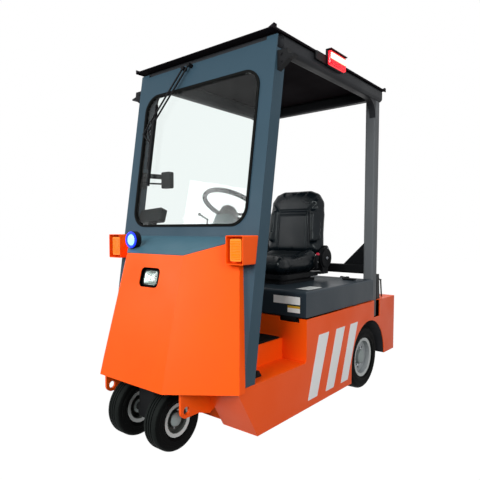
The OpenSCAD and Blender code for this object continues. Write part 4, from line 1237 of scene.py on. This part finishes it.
@dataclass
class SeatCovers:
    """Sewn vinyl covers over the seat's foam, puffed by a cloth pass.

    Attributes:
        patterns: Shared node trees.
        voxel: Mesh size of the puffed skin.
        shrink: How far the foam starts inside its CAD form.
        swell: Furthest that the pass may move a point.
        pressure: Pressure of the cloth pass.
        stiffness: Stiffness of the cloth.
        frames: Length of the cloth pass.
        groove: Depth of a sewn channel.
        groove_w: Half width of a sewn channel.
        pitch: Length of a stitch with its gap.
        thread: Thread radius.
        facing: Least cosine between a normal and the aim on the sewn face.
        pad: Half width of the cushion's insert, as a share of the cushion's width.
        taper: Share of that width at the insert's rear.
        front_in: Place of the cushion's front seam, from its front.
        heel_in: Place of the cushion's rear roll, from its rear.
        heel_long: Length of that roll, as a share of the cushion's width.
        heel: Its height and half width. It meets the backrest.
        insert: Half width of the backrest's insert, as a share of the backrest's width.
        flare: Share of that width at the insert's foot.
        wing: Place of the wings' seams, as a share of the backrest's width.
        foot: Height of the insert's foot, as a share of the backrest's height.
        crease: Height of the crease over the insert, likewise.
        wing_rise: Rise of the seam from the crease's end to the wing, likewise.
        wing_top: Drop from the crease to the top of the wing's seam, likewise.
        wing_foot: Height of that seam's foot, likewise.
        under: Drop from the crease to the roll below it.
        roll_long: Length of that roll, as a share of the insert's width.
        roll: Its height and half width.
    """

    patterns: Patterns
    voxel: float = 6 * MM
    shrink: float = 5 * MM
    swell: float = 9 * MM
    pressure: float = 4.0
    stiffness: float = 25.0
    frames: int = 20
    groove: float = 8 * MM
    groove_w: float = 7 * MM
    pitch: float = 7 * MM
    thread: float = 0.9 * MM
    facing: float = 0.25
    pad: float = 0.29
    taper: float = 0.97
    front_in: float = 85 * MM
    heel_in: float = 70 * MM
    heel_long: float = 0.8
    heel: tuple[float, float] = (20 * MM, 42 * MM)
    insert: float = 0.25
    flare: float = 1.03
    wing: float = 0.345
    foot: float = 0.07
    crease: float = 0.68
    wing_rise: float = 0.10
    wing_top: float = 0.06
    wing_foot: float = 0.38
    under: float = 19 * MM
    roll_long: float = 0.9
    roll: tuple[float, float] = (8 * MM, 11 * MM)

    def build(self) -> None:
        """Makes both covers with their seams."""
        self._cover("seat_cushion", Z, *self._cushion_lines())
        self._cover("seat_back", -Y, *self._back_lines())

    def _cushion_lines(self) -> tuple[list[list[Vector]], Roll]:
        """Draws the cushion's seams round its insert, and the roll that meets the backrest.

        Returns:
            The seams and the roll.
        """
        lo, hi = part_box("seat_cushion")
        half = (hi.x - lo.x) * self.pad
        front, back = lo.y + self.front_in, hi.y - self.heel_in
        seams = [line((s * half, front, 0), (s * half * self.taper, back, 0)) for s in (-1, 1)]
        seams.append(line((-half, front, 0), (half, front, 0)))
        heel = line((lo.x * self.heel_long, back, 0), (hi.x * self.heel_long, back, 0))
        return seams, (heel, *self.heel)

    def _back_lines(self) -> tuple[list[list[Vector]], Roll]:
        """Draws the backrest's seams round its insert and along the wings, and the roll under the crease.

        Returns:
            The seams and the roll.
        """
        lo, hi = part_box("seat_back")
        wide, tall = hi.x - lo.x, hi.z - lo.z
        half, wing = wide * self.insert, wide * self.wing
        crease = lo.z + tall * self.crease
        seams = [line((-half, 0, crease), (half, 0, crease))]
        wing_top, wing_foot = crease - tall * self.wing_top, lo.z + tall * self.wing_foot
        for s in (-1, 1):
            corner = (s * half, 0, crease)
            seams.append(line(corner, (s * half * self.flare, 0, lo.z + tall * self.foot)))
            seams.append(line(corner, (s * wing, 0, crease + tall * self.wing_rise)))
            seams.append(line((s * wing, 0, wing_top), (s * wing, 0, wing_foot)))
        end, under = half * self.roll_long, crease - self.under
        return seams, (line((-end, 0, under), (end, 0, under)), *self.roll)

    def _cover(self, node: str, aim: Vector, seams: list[list[Vector]], roll: Roll) -> None:
        """Copies a foam form, puffs it, sews it and settles it.

        Args:
            node: CAD node of the foam.
            aim: Direction in which its sewn face looks.
            seams: Lines of the seams, with the coordinate along aim left at 0.
            roll: Line along which the padding stands out, with the roll's height and half width.
        """
        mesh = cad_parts[node].data.copy()
        obj = shown(mesh, f"{node}_foam")
        bm = bmesh.new()
        bm.from_mesh(mesh)
        bmesh.ops.remove_doubles(bm, verts=bm.verts[:], dist=0.2 * MM)
        bm.to_mesh(mesh)
        bm.free()
        self._modify(obj, "REMESH", mode="VOXEL", voxel_size=self.voxel)
        places = [c for co, normal in self._skin(obj.data) for c in co - normal * self.shrink]
        obj.data.vertices.foreach_set("co", places)
        self._puff(obj)
        self._modify(obj, "SMOOTH", factor=0.5, iterations=4)
        self._modify(obj, "SUBSURF", levels=1, render_levels=1)
        row, height, width = roll
        self._press(obj, [row], aim, -height, width)
        self._press(obj, seams, aim, self.groove, self.groove_w)
        laid = self._lay(obj, seams, aim)
        mesh = obj.data.copy()
        bpy.data.objects.remove(obj)
        cover = settle(mesh, f"{node}_cover", VINYL, Body.HOOD, Slot.VINYL, node)
        mesh.set_sharp_from_angle(angle=math.pi)
        stitches = self.patterns.stitches.run(line_mesh(laid), PIPING, Pitch=self.pitch, Thread=self.thread)
        settle(stitches, f"{node}_stitches", PIPING, Body.HOOD, Slot.VINYL)

    @staticmethod
    def _modify(obj: Object, kind: str, **settings: Any) -> None:
        """Runs one modifier and keeps its result as the object's mesh.

        Args:
            obj: Object to change.
            kind: Modifier type.
            **settings: Its properties.
        """
        mod = obj.modifiers.new(kind.lower(), kind)
        for key, value in settings.items():
            setattr(mod, key, value)
        made = evaluated(obj)
        obj.modifiers.remove(mod)
        obj.data = made

    def _puff(self, obj: Object) -> None:
        """Swells the skin with cloth under pressure and caps how far a point moves.

        Args:
            obj: Closed skin to swell.
        """
        rest = [v.co.copy() for v in obj.data.vertices]
        mod = obj.modifiers.new("puff", "CLOTH")
        cloth = mod.settings
        cloth.quality = 4
        cloth.use_pressure = True
        cloth.uniform_pressure_force = self.pressure
        cloth.effector_weights.gravity = 0
        cloth.tension_stiffness = cloth.compression_stiffness = self.stiffness
        mod.point_cache.frame_start, mod.point_cache.frame_end = 1, self.frames
        scene = bpy.context.scene
        for step in range(1, self.frames + 1):
            scene.frame_set(step)
        dg = bpy.context.evaluated_depsgraph_get()
        swollen = [v.co.copy() for v in obj.evaluated_get(dg).data.vertices]
        obj.modifiers.remove(mod)
        scene.frame_set(1)
        for v, a, b in zip(obj.data.vertices, rest, swollen):
            move = b - a
            v.co = a + move * min(1.0, self.swell / max(move.length, 1e-9))

    @staticmethod
    def _skin(mesh: Mesh) -> list[tuple[Vector, Vector]]:
        """Place and normal of every point, copied before any is moved."""
        return [(v.co.copy(), n.vector.copy()) for v, n in zip(mesh.vertices, mesh.vertex_normals)]

    def _press(self, obj: Object, rows: list[list[Vector]], aim: Vector, depth: float, width: float) -> None:
        """Presses channels into the face that looks along aim, or rolls out of it.

        Args:
            obj: Puffed skin.
            rows: Lines across that face.
            aim: Direction in which the face looks.
            depth: Depth of a channel, negative for a roll.
            width: Its half width.
        """
        points = [p for row in rows for p in row]
        tree = kdtree.KDTree(len(points))
        for i, p in enumerate(points):
            tree.insert(p, i)
        tree.balance()
        places = []
        for co, normal in self._skin(obj.data):
            if normal.dot(aim) > self.facing:
                near = tree.find(co - aim * co.dot(aim))[2]
                co = co - normal * depth * math.exp(-((near / width) ** 2))
            places.extend(co)
        obj.data.vertices.foreach_set("co", places)
        obj.data.update()

    @staticmethod
    def _lay(obj: Object, rows: list[list[Vector]], aim: Vector) -> list[list[Vector]]:
        """Finds the seam lines on the finished skin.

        Args:
            obj: Sewn skin.
            rows: Lines across the face that looks along aim.
            aim: Direction in which the face looks.

        Returns:
            The lines, just over the skin.
        """
        mesh = obj.data
        faces = [p.vertices[:] for p in mesh.polygons]
        tree = bvhtree.BVHTree.FromPolygons([v.co for v in mesh.vertices], faces)
        ahead, over = aim * 3, aim * 0.3 * MM
        laid = []
        for row in rows:
            hits = [tree.ray_cast(p + ahead, -aim)[0] for p in row]
            laid.append([place + over for place in hits if place])
        return laid


@dataclass
class Lamps:
    """Headlamp, spot, red roof lights and the indicators' ribs. Loops and profiles are in mm.

    Attributes:
        patterns: Shared node trees.
        nose: Lean of the nose from upright, radians.
        spot_z: Heights between which the spot's lens lies.
        bezel: Width, height and place ahead of the lens's middle of each loop of the headlamp's bezel.
        bowl: Loops of its reflector, likewise.
        glass: Loops of its domed glass, likewise.
        shield: Profile of its bulb shield.
        collar: Profile of the spot's collar, as what is added to the lens's radius.
        dome: Profile of the spot's diode dome between its middle points, likewise.
        strip: How much each loop of the red diode strip is shrunk, its place behind the lens's face and its
            share of the lens's height.
        strip_rise: Lift of that strip, as a share of the lens's height.
    """

    patterns: Patterns
    nose: float = math.atan(159 / 599)
    spot_z: tuple[float, float] = (0.93, 1.3)
    bezel: Rows = ((106, 80, -3), (106, 80, 7), (102, 76, 9), (95, 69, 8), (93, 67, 3))
    bowl: Rows = ((94, 68, 5), (84, 60, 2), (62, 44, -1), (34, 26, -2.4))
    glass: Rows = ((94, 68, 6), (92, 66, 8), (70, 50, 10), (36, 26, 11))
    shield: Pairs = ((11, -3), (11, 2), (8, 5), (0.0, 6))
    collar: Pairs = ((0, -0.4), (4, 0), (5, 3), (2, 7), (-6, 7), (-10, 3), (-10, -0.4))
    dome: Pairs = ((-9, -0.4), (-9, 2), (-13, 5), (-22, 7))
    strip: Rows = ((14, 6, 0.62), (16, 1, 0.6), (22, 0, 0.56))
    strip_rise: float = 0.16

    def build(self) -> None:
        """Replaces the plain lens solids with lit, layered lenses."""
        lenses = islands("lamp_lenses")
        middles = [(lo + hi) / 2 for lo, hi in lenses]
        low, high = self.spot_z
        self._head(min(middles, key=lambda m: m.z))
        self._spot(*next(b for b, m in zip(lenses, middles) if low < m.z < high))
        self._red(*max(lenses, key=lambda b: b[1].x))
        self._indicators()

    def _head(self, middle: Vector) -> None:
        """Headlamp: a bezel, a dished reflector with its bulb shield, and domed glass.

        Args:
            middle: Middle of the CAD lens.
        """
        up = Vector((0, math.sin(self.nose), math.cos(self.nose)))
        out = Vector((0, -math.cos(self.nose), math.sin(self.nose)))

        def loops(plan: Rows) -> list[list[Vector]]:
            """Draws rounded loops across the lamp.

            Args:
                plan: Width, height and place of each loop.

            Returns:
                Points of each loop.
            """
            made = []
            for width, height, ahead in plan:
                outline = rounded(width, height, min(width, height) * 0.24, 5)
                made.append([middle + (X * a + up * b + out * ahead) * MM for a, b in outline])
            return made

        Shape().skin(loops(self.bezel)).piece("headlamp_bezel", BLACK_PLASTIC, Body.CHASSIS, Slot.PLASTIC)
        reflector = Shape().skin(loops(self.bowl), last=True).lathe(metres(self.shield), middle, out, 24)
        reflector.piece("headlamp_reflector", MIRROR, Body.CHASSIS, Slot.LENS, "lamp_lenses")
        glass = Shape().skin(loops(self.glass), last=True)
        glass.piece("headlamp_glass", LAMP_GLASS, Body.CHASSIS, Slot.GLASS)

    def _spot(self, lo: Vector, hi: Vector) -> None:
        """Blue spot: a deep blue collar round a bright diode dome.

        Args:
            lo: Lowest corner of the CAD lens.
            hi: Highest corner of the CAD lens.
        """
        back = Vector(((lo.x + hi.x) / 2, hi.y, (lo.z + hi.z) / 2))
        edge = (hi.z - lo.z) / 2 / MM
        collar = [(edge + r, z) for r, z in self.collar]
        dome = [(0.0, -0.4), *((edge + r, z) for r, z in self.dome), (0.0, 8)]
        ring = Shape().lathe(metres(collar), back, -Y, closed=True)
        ring.piece("spot_collar", BLUE, Body.CHASSIS, Slot.LENS, "lamp_lenses")
        Shape().lathe(metres(dome), back, -Y).piece("spot_lens", CYAN, Body.CHASSIS, Slot.LENS, "lamp_lenses")

    def _red(self, lo: Vector, hi: Vector) -> None:
        """Red roof lights: a moulded lens, a bright diode strip and ribs under it.

        Args:
            lo: Lowest corner of the CAD lens on the vehicle's left.
            hi: Its highest corner.
        """
        mid = (lo + hi) / 2
        width, height = hi.y - lo.y, hi.z - lo.z

        def ring(grow: float, x: float, rise: float = 0.0, tall: float = 1.0) -> list[Vector]:
            """One rounded loop of the lens at a given x, grown or shrunk all round."""
            outline = rounded(width + grow, height * tall + grow, 8 * MM + grow / 3, 5)
            return [Vector((x, mid.y + a, mid.z + rise + b)) for a, b in outline]

        lens = [ring(0, lo.x), ring(0, hi.x - 8 * MM), ring(-3 * MM, hi.x - 5 * MM)]
        rise = height * self.strip_rise
        strip = [ring(-shrink * MM, hi.x - behind * MM, rise, tall) for shrink, behind, tall in self.strip]
        for name, loops, finish in (("red_lenses", lens, RED), ("red_diode_strips", strip, PALE)):
            shape = Shape().skin(loops, first=True, last=True).both_sides()
            shape.piece(name, finish, Body.CHASSIS, Slot.LENS, "lamp_lenses")
        for side, name in ((1, "left"), (-1, "right")):
            ribs = self.patterns.bars.run(
                line_mesh(), RED, Count=6, Start=(side * (hi.x - 4 * MM), mid.y, lo.z + 5 * MM),
                Step=(0, 0, 4 * MM), Size=(4 * MM, width - 18 * MM, 2 * MM), Turn=(0, 0, 0),
            )
            settle(ribs, f"red_ribs_{name}", RED, Body.CHASSIS, Slot.LENS)

    def _indicators(self) -> None:
        """Moulded ribs across the amber lenses."""
        for lo, hi in islands("indicator_lenses"):
            name = "left" if lo.x > 0 else "right"
            ribs = self.patterns.bars.run(
                line_mesh(), AMBER, Count=12, Start=((lo.x + hi.x) / 2, lo.y - 0.6 * MM, lo.z + 11 * MM),
                Step=(0, 0, 7 * MM), Size=(hi.x - lo.x - 12 * MM, 3 * MM, 3 * MM), Turn=(0.6, 0, 0),
            )
            settle(ribs, f"indicator_ribs_{name}", AMBER, Body.CHASSIS, Slot.AMBER)


@dataclass
class WheelTrim:
    """Sidewall rings, shoulder sipes, nuts and valves of the wheels.

    Attributes:
        patterns: Shared node trees.
        ring: Profile of a sidewall ring round its own radius, in mm.
        ring_shares: Places of the rings, as shares of the wall's height.
        shoulder: Depth of a shoulder, as a share of the tyre's width.
        sipes: Sipes round a shoulder.
        sipe_at: Their place under the running face and off the tyre's middle, as shares of its width.
        sipe: Length of a sipe as a share of the tyre's width, its width and its height.
        lean: Lean of the sipes, radians.
        nut_h: Height of a nut, as a share of its radius.
        disc: Place of the disc off the tyre's middle, as a share of the tyre's width.
        valve_in: Drop from the bead to the valve.
        valve: Valve radius.
    """

    patterns: Patterns
    ring: Pairs = ((-2.5, -0.6), (-1.5, 1.1), (1.5, 1.1), (2.5, -0.6))
    ring_shares: tuple[float, ...] = (0.12, 0.24)
    shoulder: float = 0.24
    sipes: int = 54
    sipe_at: tuple[float, float] = (0.11, 0.421)
    sipe: tuple[float, float, float] = (0.17, 4 * MM, 2 * MM)
    lean: float = 0.72
    nut_h: float = 1.2
    disc: float = 0.105
    valve_in: float = 21 * MM
    valve: float = 3 * MM

    def build(self) -> None:
        """Dresses each body's tyres and rims."""
        for wheel in WHEELS:
            rings, valves = Shape(), Shape()
            sipes: list[Mesh] = []
            nuts: list[Stand] = []
            for lo, hi in islands(wheel.tyre):
                self._wall(wheel, lo, hi, rings, sipes)
                self._disc(wheel, lo, hi, nuts, valves)
            rings.piece(f"{wheel.tyre}_sidewall_rings", RUBBER, wheel.body, Slot.TYRE)
            settle(merged(sipes), f"{wheel.tyre}_shoulder_sipes", RUBBER, wheel.body, Slot.TYRE)
            size = {"Head_radius": wheel.nut, "Head_height": wheel.nut * self.nut_h}
            made = self.patterns.screws.run(aimed_points(nuts), ZINC, **size)
            settle(made, f"{wheel.rim}_nuts", ZINC, wheel.body, Slot.METAL)
            valves.piece(f"{wheel.rim}_valves", RUBBER, wheel.body, Slot.RUBBER)

    def _wall(self, wheel: Wheel, lo: Vector, hi: Vector, rings: Shape, sipes: list[Mesh]) -> None:
        """Moulds rings and sipes on both walls of one tyre.

        Args:
            wheel: The wheel's plan.
            lo: Lowest corner of the tyre.
            hi: Highest corner of the tyre.
            rings: Shape that takes the rings.
            sipes: List that takes the sipes.
        """
        mid = (lo + hi) / 2
        width, radius = hi.x - lo.x, (hi.z - lo.z) / 2
        under, off = self.sipe_at
        long, wide, high = self.sipe
        for face in (-1, 1):
            for share in self.ring_shares:
                r = radius - width * self.shoulder - (radius - wheel.bead) * share
                rise = [(r + a, b) for a, b in metres(self.ring)]
                rings.lathe(rise, mid + X * face * width / 2, X * face, 96, closed=True)
            sipes.append(
                self.patterns.ring.run(
                    line_mesh(), RUBBER, Count=self.sipes, Radius=radius - width * under,
                    Size=(width * long, wide, high), Lean=face * self.lean,
                    Place=mid + X * face * width * off,
                )
            )

    def _disc(self, wheel: Wheel, lo: Vector, hi: Vector, nuts: list[Stand], valves: Shape) -> None:
        """Places the nuts and the valve of one disc.

        Args:
            wheel: The wheel's plan.
            lo: Lowest corner of the tyre.
            hi: Highest corner of the tyre.
            nuts: List that takes the nuts.
            valves: Shape that takes the valve.
        """
        mid = (lo + hi) / 2
        out = X if mid.x > 0 else -X
        hub = mid + out * (hi.x - lo.x) * self.disc
        for i in range(wheel.nuts):
            a = 2 * math.pi * (i + 0.5) / wheel.nuts
            nuts.append((hub + (Y * math.sin(a) + Z * math.cos(a)) * wheel.nut_ring, out))
        stem = hub - out * 4 * MM + (Z * 0.8 - Y * 0.6) * (wheel.bead - self.valve_in)
        bends = (Vector(), out * 16, out * 26 - Y * 3 + Z * 4)
        valves.tube([stem + bend * MM for bend in bends], self.valve)


@dataclass
class Fasteners:
    """Screws of the body, by what they hold. Head radii are in mm.

    Attributes:
        patterns: Shared node trees.
        head_h: Height of a head, as a share of its radius.
        roof_rows: Screws along one edge of the roof.
        roof_in: Place of those screws, from the roof's front and from its side.
        roof_drop: Drop from the top of the node to the sheet.
        bracket_in: Place of the pillar brackets' screws, from their inner side.
        bracket_drops: Their drops from the brackets' top.
        gusset: Place of the crossbeam's screws, from its end and from its top.
        gusset_t: Half the gussets' thickness.
        plate_in: Place of the coupling's screws, from its side.
        plate_z: Their height over and under its middle.
        plate_t: Thickness of its back plate.
        pivots: Place of the screws in the seat's hinge covers: depth under the cover's face, y and z.
    """

    patterns: Patterns
    head_h: float = 0.9
    roof_rows: int = 8
    roof_in: tuple[float, float] = (80 * MM, 45 * MM)
    roof_drop: float = 14 * MM
    bracket_in: float = 22 * MM
    bracket_drops: tuple[float, ...] = (20 * MM, 55 * MM)
    gusset: Pairs = ((18 * MM, 50 * MM), (18 * MM, 105 * MM), (85 * MM, 140 * MM))
    gusset_t: float = 5 * MM
    plate_in: float = 18 * MM
    plate_z: float = 82 * MM
    plate_t: float = 16 * MM
    pivots: Rows = ((0.0, 0.373, 0.853), (10 * MM, 0.400, 0.912))

    def build(self) -> None:
        """Sets each group of screws."""
        self._row("roof_screws", Body.CHASSIS, BLACK_PAINT, 5.0, self._roof())
        self._row("bracket_screws", Body.CHASSIS, BLACK_PAINT, 5.5, self._brackets())
        self._row("coupling_screws", Body.CHASSIS, ZINC, 10.0, self._coupling())
        self._row("seat_screws", Body.HOOD, ZINC, 7.0, self._seat())

    def _row(self, name: str, body: Body, finish: Finish, head: float, places: list[Stand]) -> None:
        """Makes one group.

        Args:
            name: Piece name.
            body: Body that they move with.
            finish: Their finish.
            head: Head radius in mm.
            places: Seats and directions.
        """
        size = {"Head_radius": head * MM, "Head_height": head * self.head_h * MM}
        mesh = self.patterns.screws.run(aimed_points(places), finish, **size)
        settle(mesh, name, finish, body, Slot.METAL if finish is ZINC else Slot.BLACK)

    def _roof(self) -> list[Stand]:
        """Places the screws along both edges of the roof sheet.

        Returns:
            Their seats and directions.
        """
        lo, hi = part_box("roof_sheet")
        ends, edge = self.roof_in
        top = hi.z - self.roof_drop
        rows = line((0, lo.y + ends, top), (0, hi.y - ends, top), self.roof_rows - 1)
        return [(p + X * s * (hi.x - edge), Z) for s in (-1, 1) for p in rows]

    def _brackets(self) -> list[Stand]:
        """Places the screws of the pillar brackets and of the crossbeam's gussets.

        Returns:
            Their seats and directions.
        """
        places = []
        for lo, hi in islands("pillar_brackets"):
            inner = min(abs(lo.x), abs(hi.x)) + self.bracket_in
            x = inner if hi.x > 0 else -inner
            places += [(Vector((x, lo.y, hi.z - drop)), -Y) for drop in self.bracket_drops]
        lo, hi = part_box("crossbeam")
        face = (lo.y + hi.y) / 2 - self.gusset_t
        for s in (-1, 1):
            places += [(Vector((s * (hi.x - end), face, hi.z - drop)), -Y) for end, drop in self.gusset]
        return places

    def _coupling(self) -> list[Stand]:
        """Places the four screws of the coupling's back plate.

        Returns:
            Their seats and directions.
        """
        lo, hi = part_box("tow_coupling")
        x, y, z = hi.x - self.plate_in, lo.y + self.plate_t, (lo.z + hi.z) / 2
        return [(Vector((sx * x, y, z + sz * self.plate_z)), Y) for sx in (-1, 1) for sz in (-1, 1)]

    def _seat(self) -> list[Stand]:
        """Pivot screws in the seat's hinge covers."""
        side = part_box("seat_base")[1].x
        return [(Vector((s * (side - under), y, z)), X * s) for s in (-1, 1) for under, y, z in self.pivots]


@dataclass(frozen=True)
class Plate:
    """A blank plate on the hood.

    Attributes:
        name: Piece name.
        finish: Its finish.
        on_top: True on the hood's top, and otherwise on its front wall.
        middle: Its middle, across the vehicle and up the wall or along the top.
        size: Its width and height.
    """

    name: str
    finish: Finish
    on_top: bool
    middle: tuple[float, float]
    size: tuple[float, float]


@dataclass
class Hood:
    """Blank plates on the battery hood, black discs that paint the shade inside the latch's screw holes, and
    the seat-belt buckle.

    Attributes:
        plates: The plates.
        film: Glue under a plate.
        plate_t: Thickness of a plate.
        holes: Places of the latch's screw holes, across and up.
        hole: Profile of a hole's rim and of the black disc in it that paints the hole's shaded inside, in mm.
        stalk: Bends of the buckle's stalk.
        stalk_r: Its radius.
        facing: Direction in which its button looks.
        button: Profile of the button, in mm.
    """

    plates: tuple[Plate, ...] = (
        Plate("hood_plate_white", LABEL, False, (0.359, 0.660), (0.170, 0.042)),
        Plate("hood_plate_pale", LABEL, False, (0.405, 0.607), (0.078, 0.024)),
        Plate("hood_plate_yellow", LABEL_YELLOW, False, (0.405, 0.625), (0.078, 0.012)),
        Plate("hood_plate_top", LABEL, True, (0.402, -0.103), (0.080, 0.150)),
    )
    film: float = 0.1 * MM
    plate_t: float = 0.6 * MM
    holes: Pairs = ((0.413, 0.544), (0.411, 0.521))
    hole: Pairs = ((0.0, -0.2), (5.5, -0.2), (5.5, 0.5), (3.5, 0.7), (0.0, 0.4))
    stalk: Rows = ((0.232, 0.272, 0.790), (0.236, 0.262, 0.836), (0.245, 0.267, 0.880))
    stalk_r: float = 12 * MM
    facing: tuple[float, float, float] = (0.2, -0.8, 0.6)
    button: Pairs = ((0.0, -2), (11, -2), (11, 5), (8, 9), (0.0, 10))

    def build(self) -> None:
        """Lays the plates, then makes the holes as black discs of painted shade, and the buckle."""
        lo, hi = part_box("hood")
        for plate in self.plates:
            u, v = plate.middle
            outline = [(a + u, b + v) for a, b in rounded(*plate.size, 2 * MM, 3)]
            origin, along = (Z * (hi.z + self.film), Y) if plate.on_top else (Y * (lo.y - self.film), Z)
            shape = Shape().plate(outline, origin, X, along, self.plate_t).soften(0.15 * MM, 1)
            shape.piece(plate.name, plate.finish, Body.HOOD, Slot.SLATE)
        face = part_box("battery_box")[0].y
        # The holes are not cut: a black disc on the box's face paints the shade inside each.
        holes = Shape()
        for x, z in self.holes:
            holes.lathe(metres(self.hole), Vector((x, face, z)), -Y, 16)
        holes.piece("latch_holes", BLACK_PAINT, Body.CHASSIS, Slot.BLACK)
        stalk = [Vector(bend) for bend in self.stalk]
        shape = Shape().tube(stalk, self.stalk_r, 12).soften(3 * MM)
        shape.piece("belt_buckle", BLACK_PLASTIC, Body.HOOD, Slot.PLASTIC)
        button = Shape().lathe(metres(self.button), stalk[-1], Vector(self.facing), 24)
        button.piece("belt_button", RED_PLASTIC, Body.HOOD, Slot.PLASTIC)


def main() -> None:
    """Builds the studio and the vehicle's looks in order."""
    logging.basicConfig(level=logging.INFO, format="%(relativeCreated)d ms %(name)s: %(message)s")
    studio = Studio()
    studio.camera()
    studio.lights()
    studio.floor()
    patterns = Patterns()
    Paintwork().dress()
    SidePanels().build()
    SeatCovers(patterns).build()
    Lamps(patterns).build()
    WheelTrim(patterns).build()
    Fasteners(patterns).build()
    Hood().build()


if __name__ == "__main__":
    main()
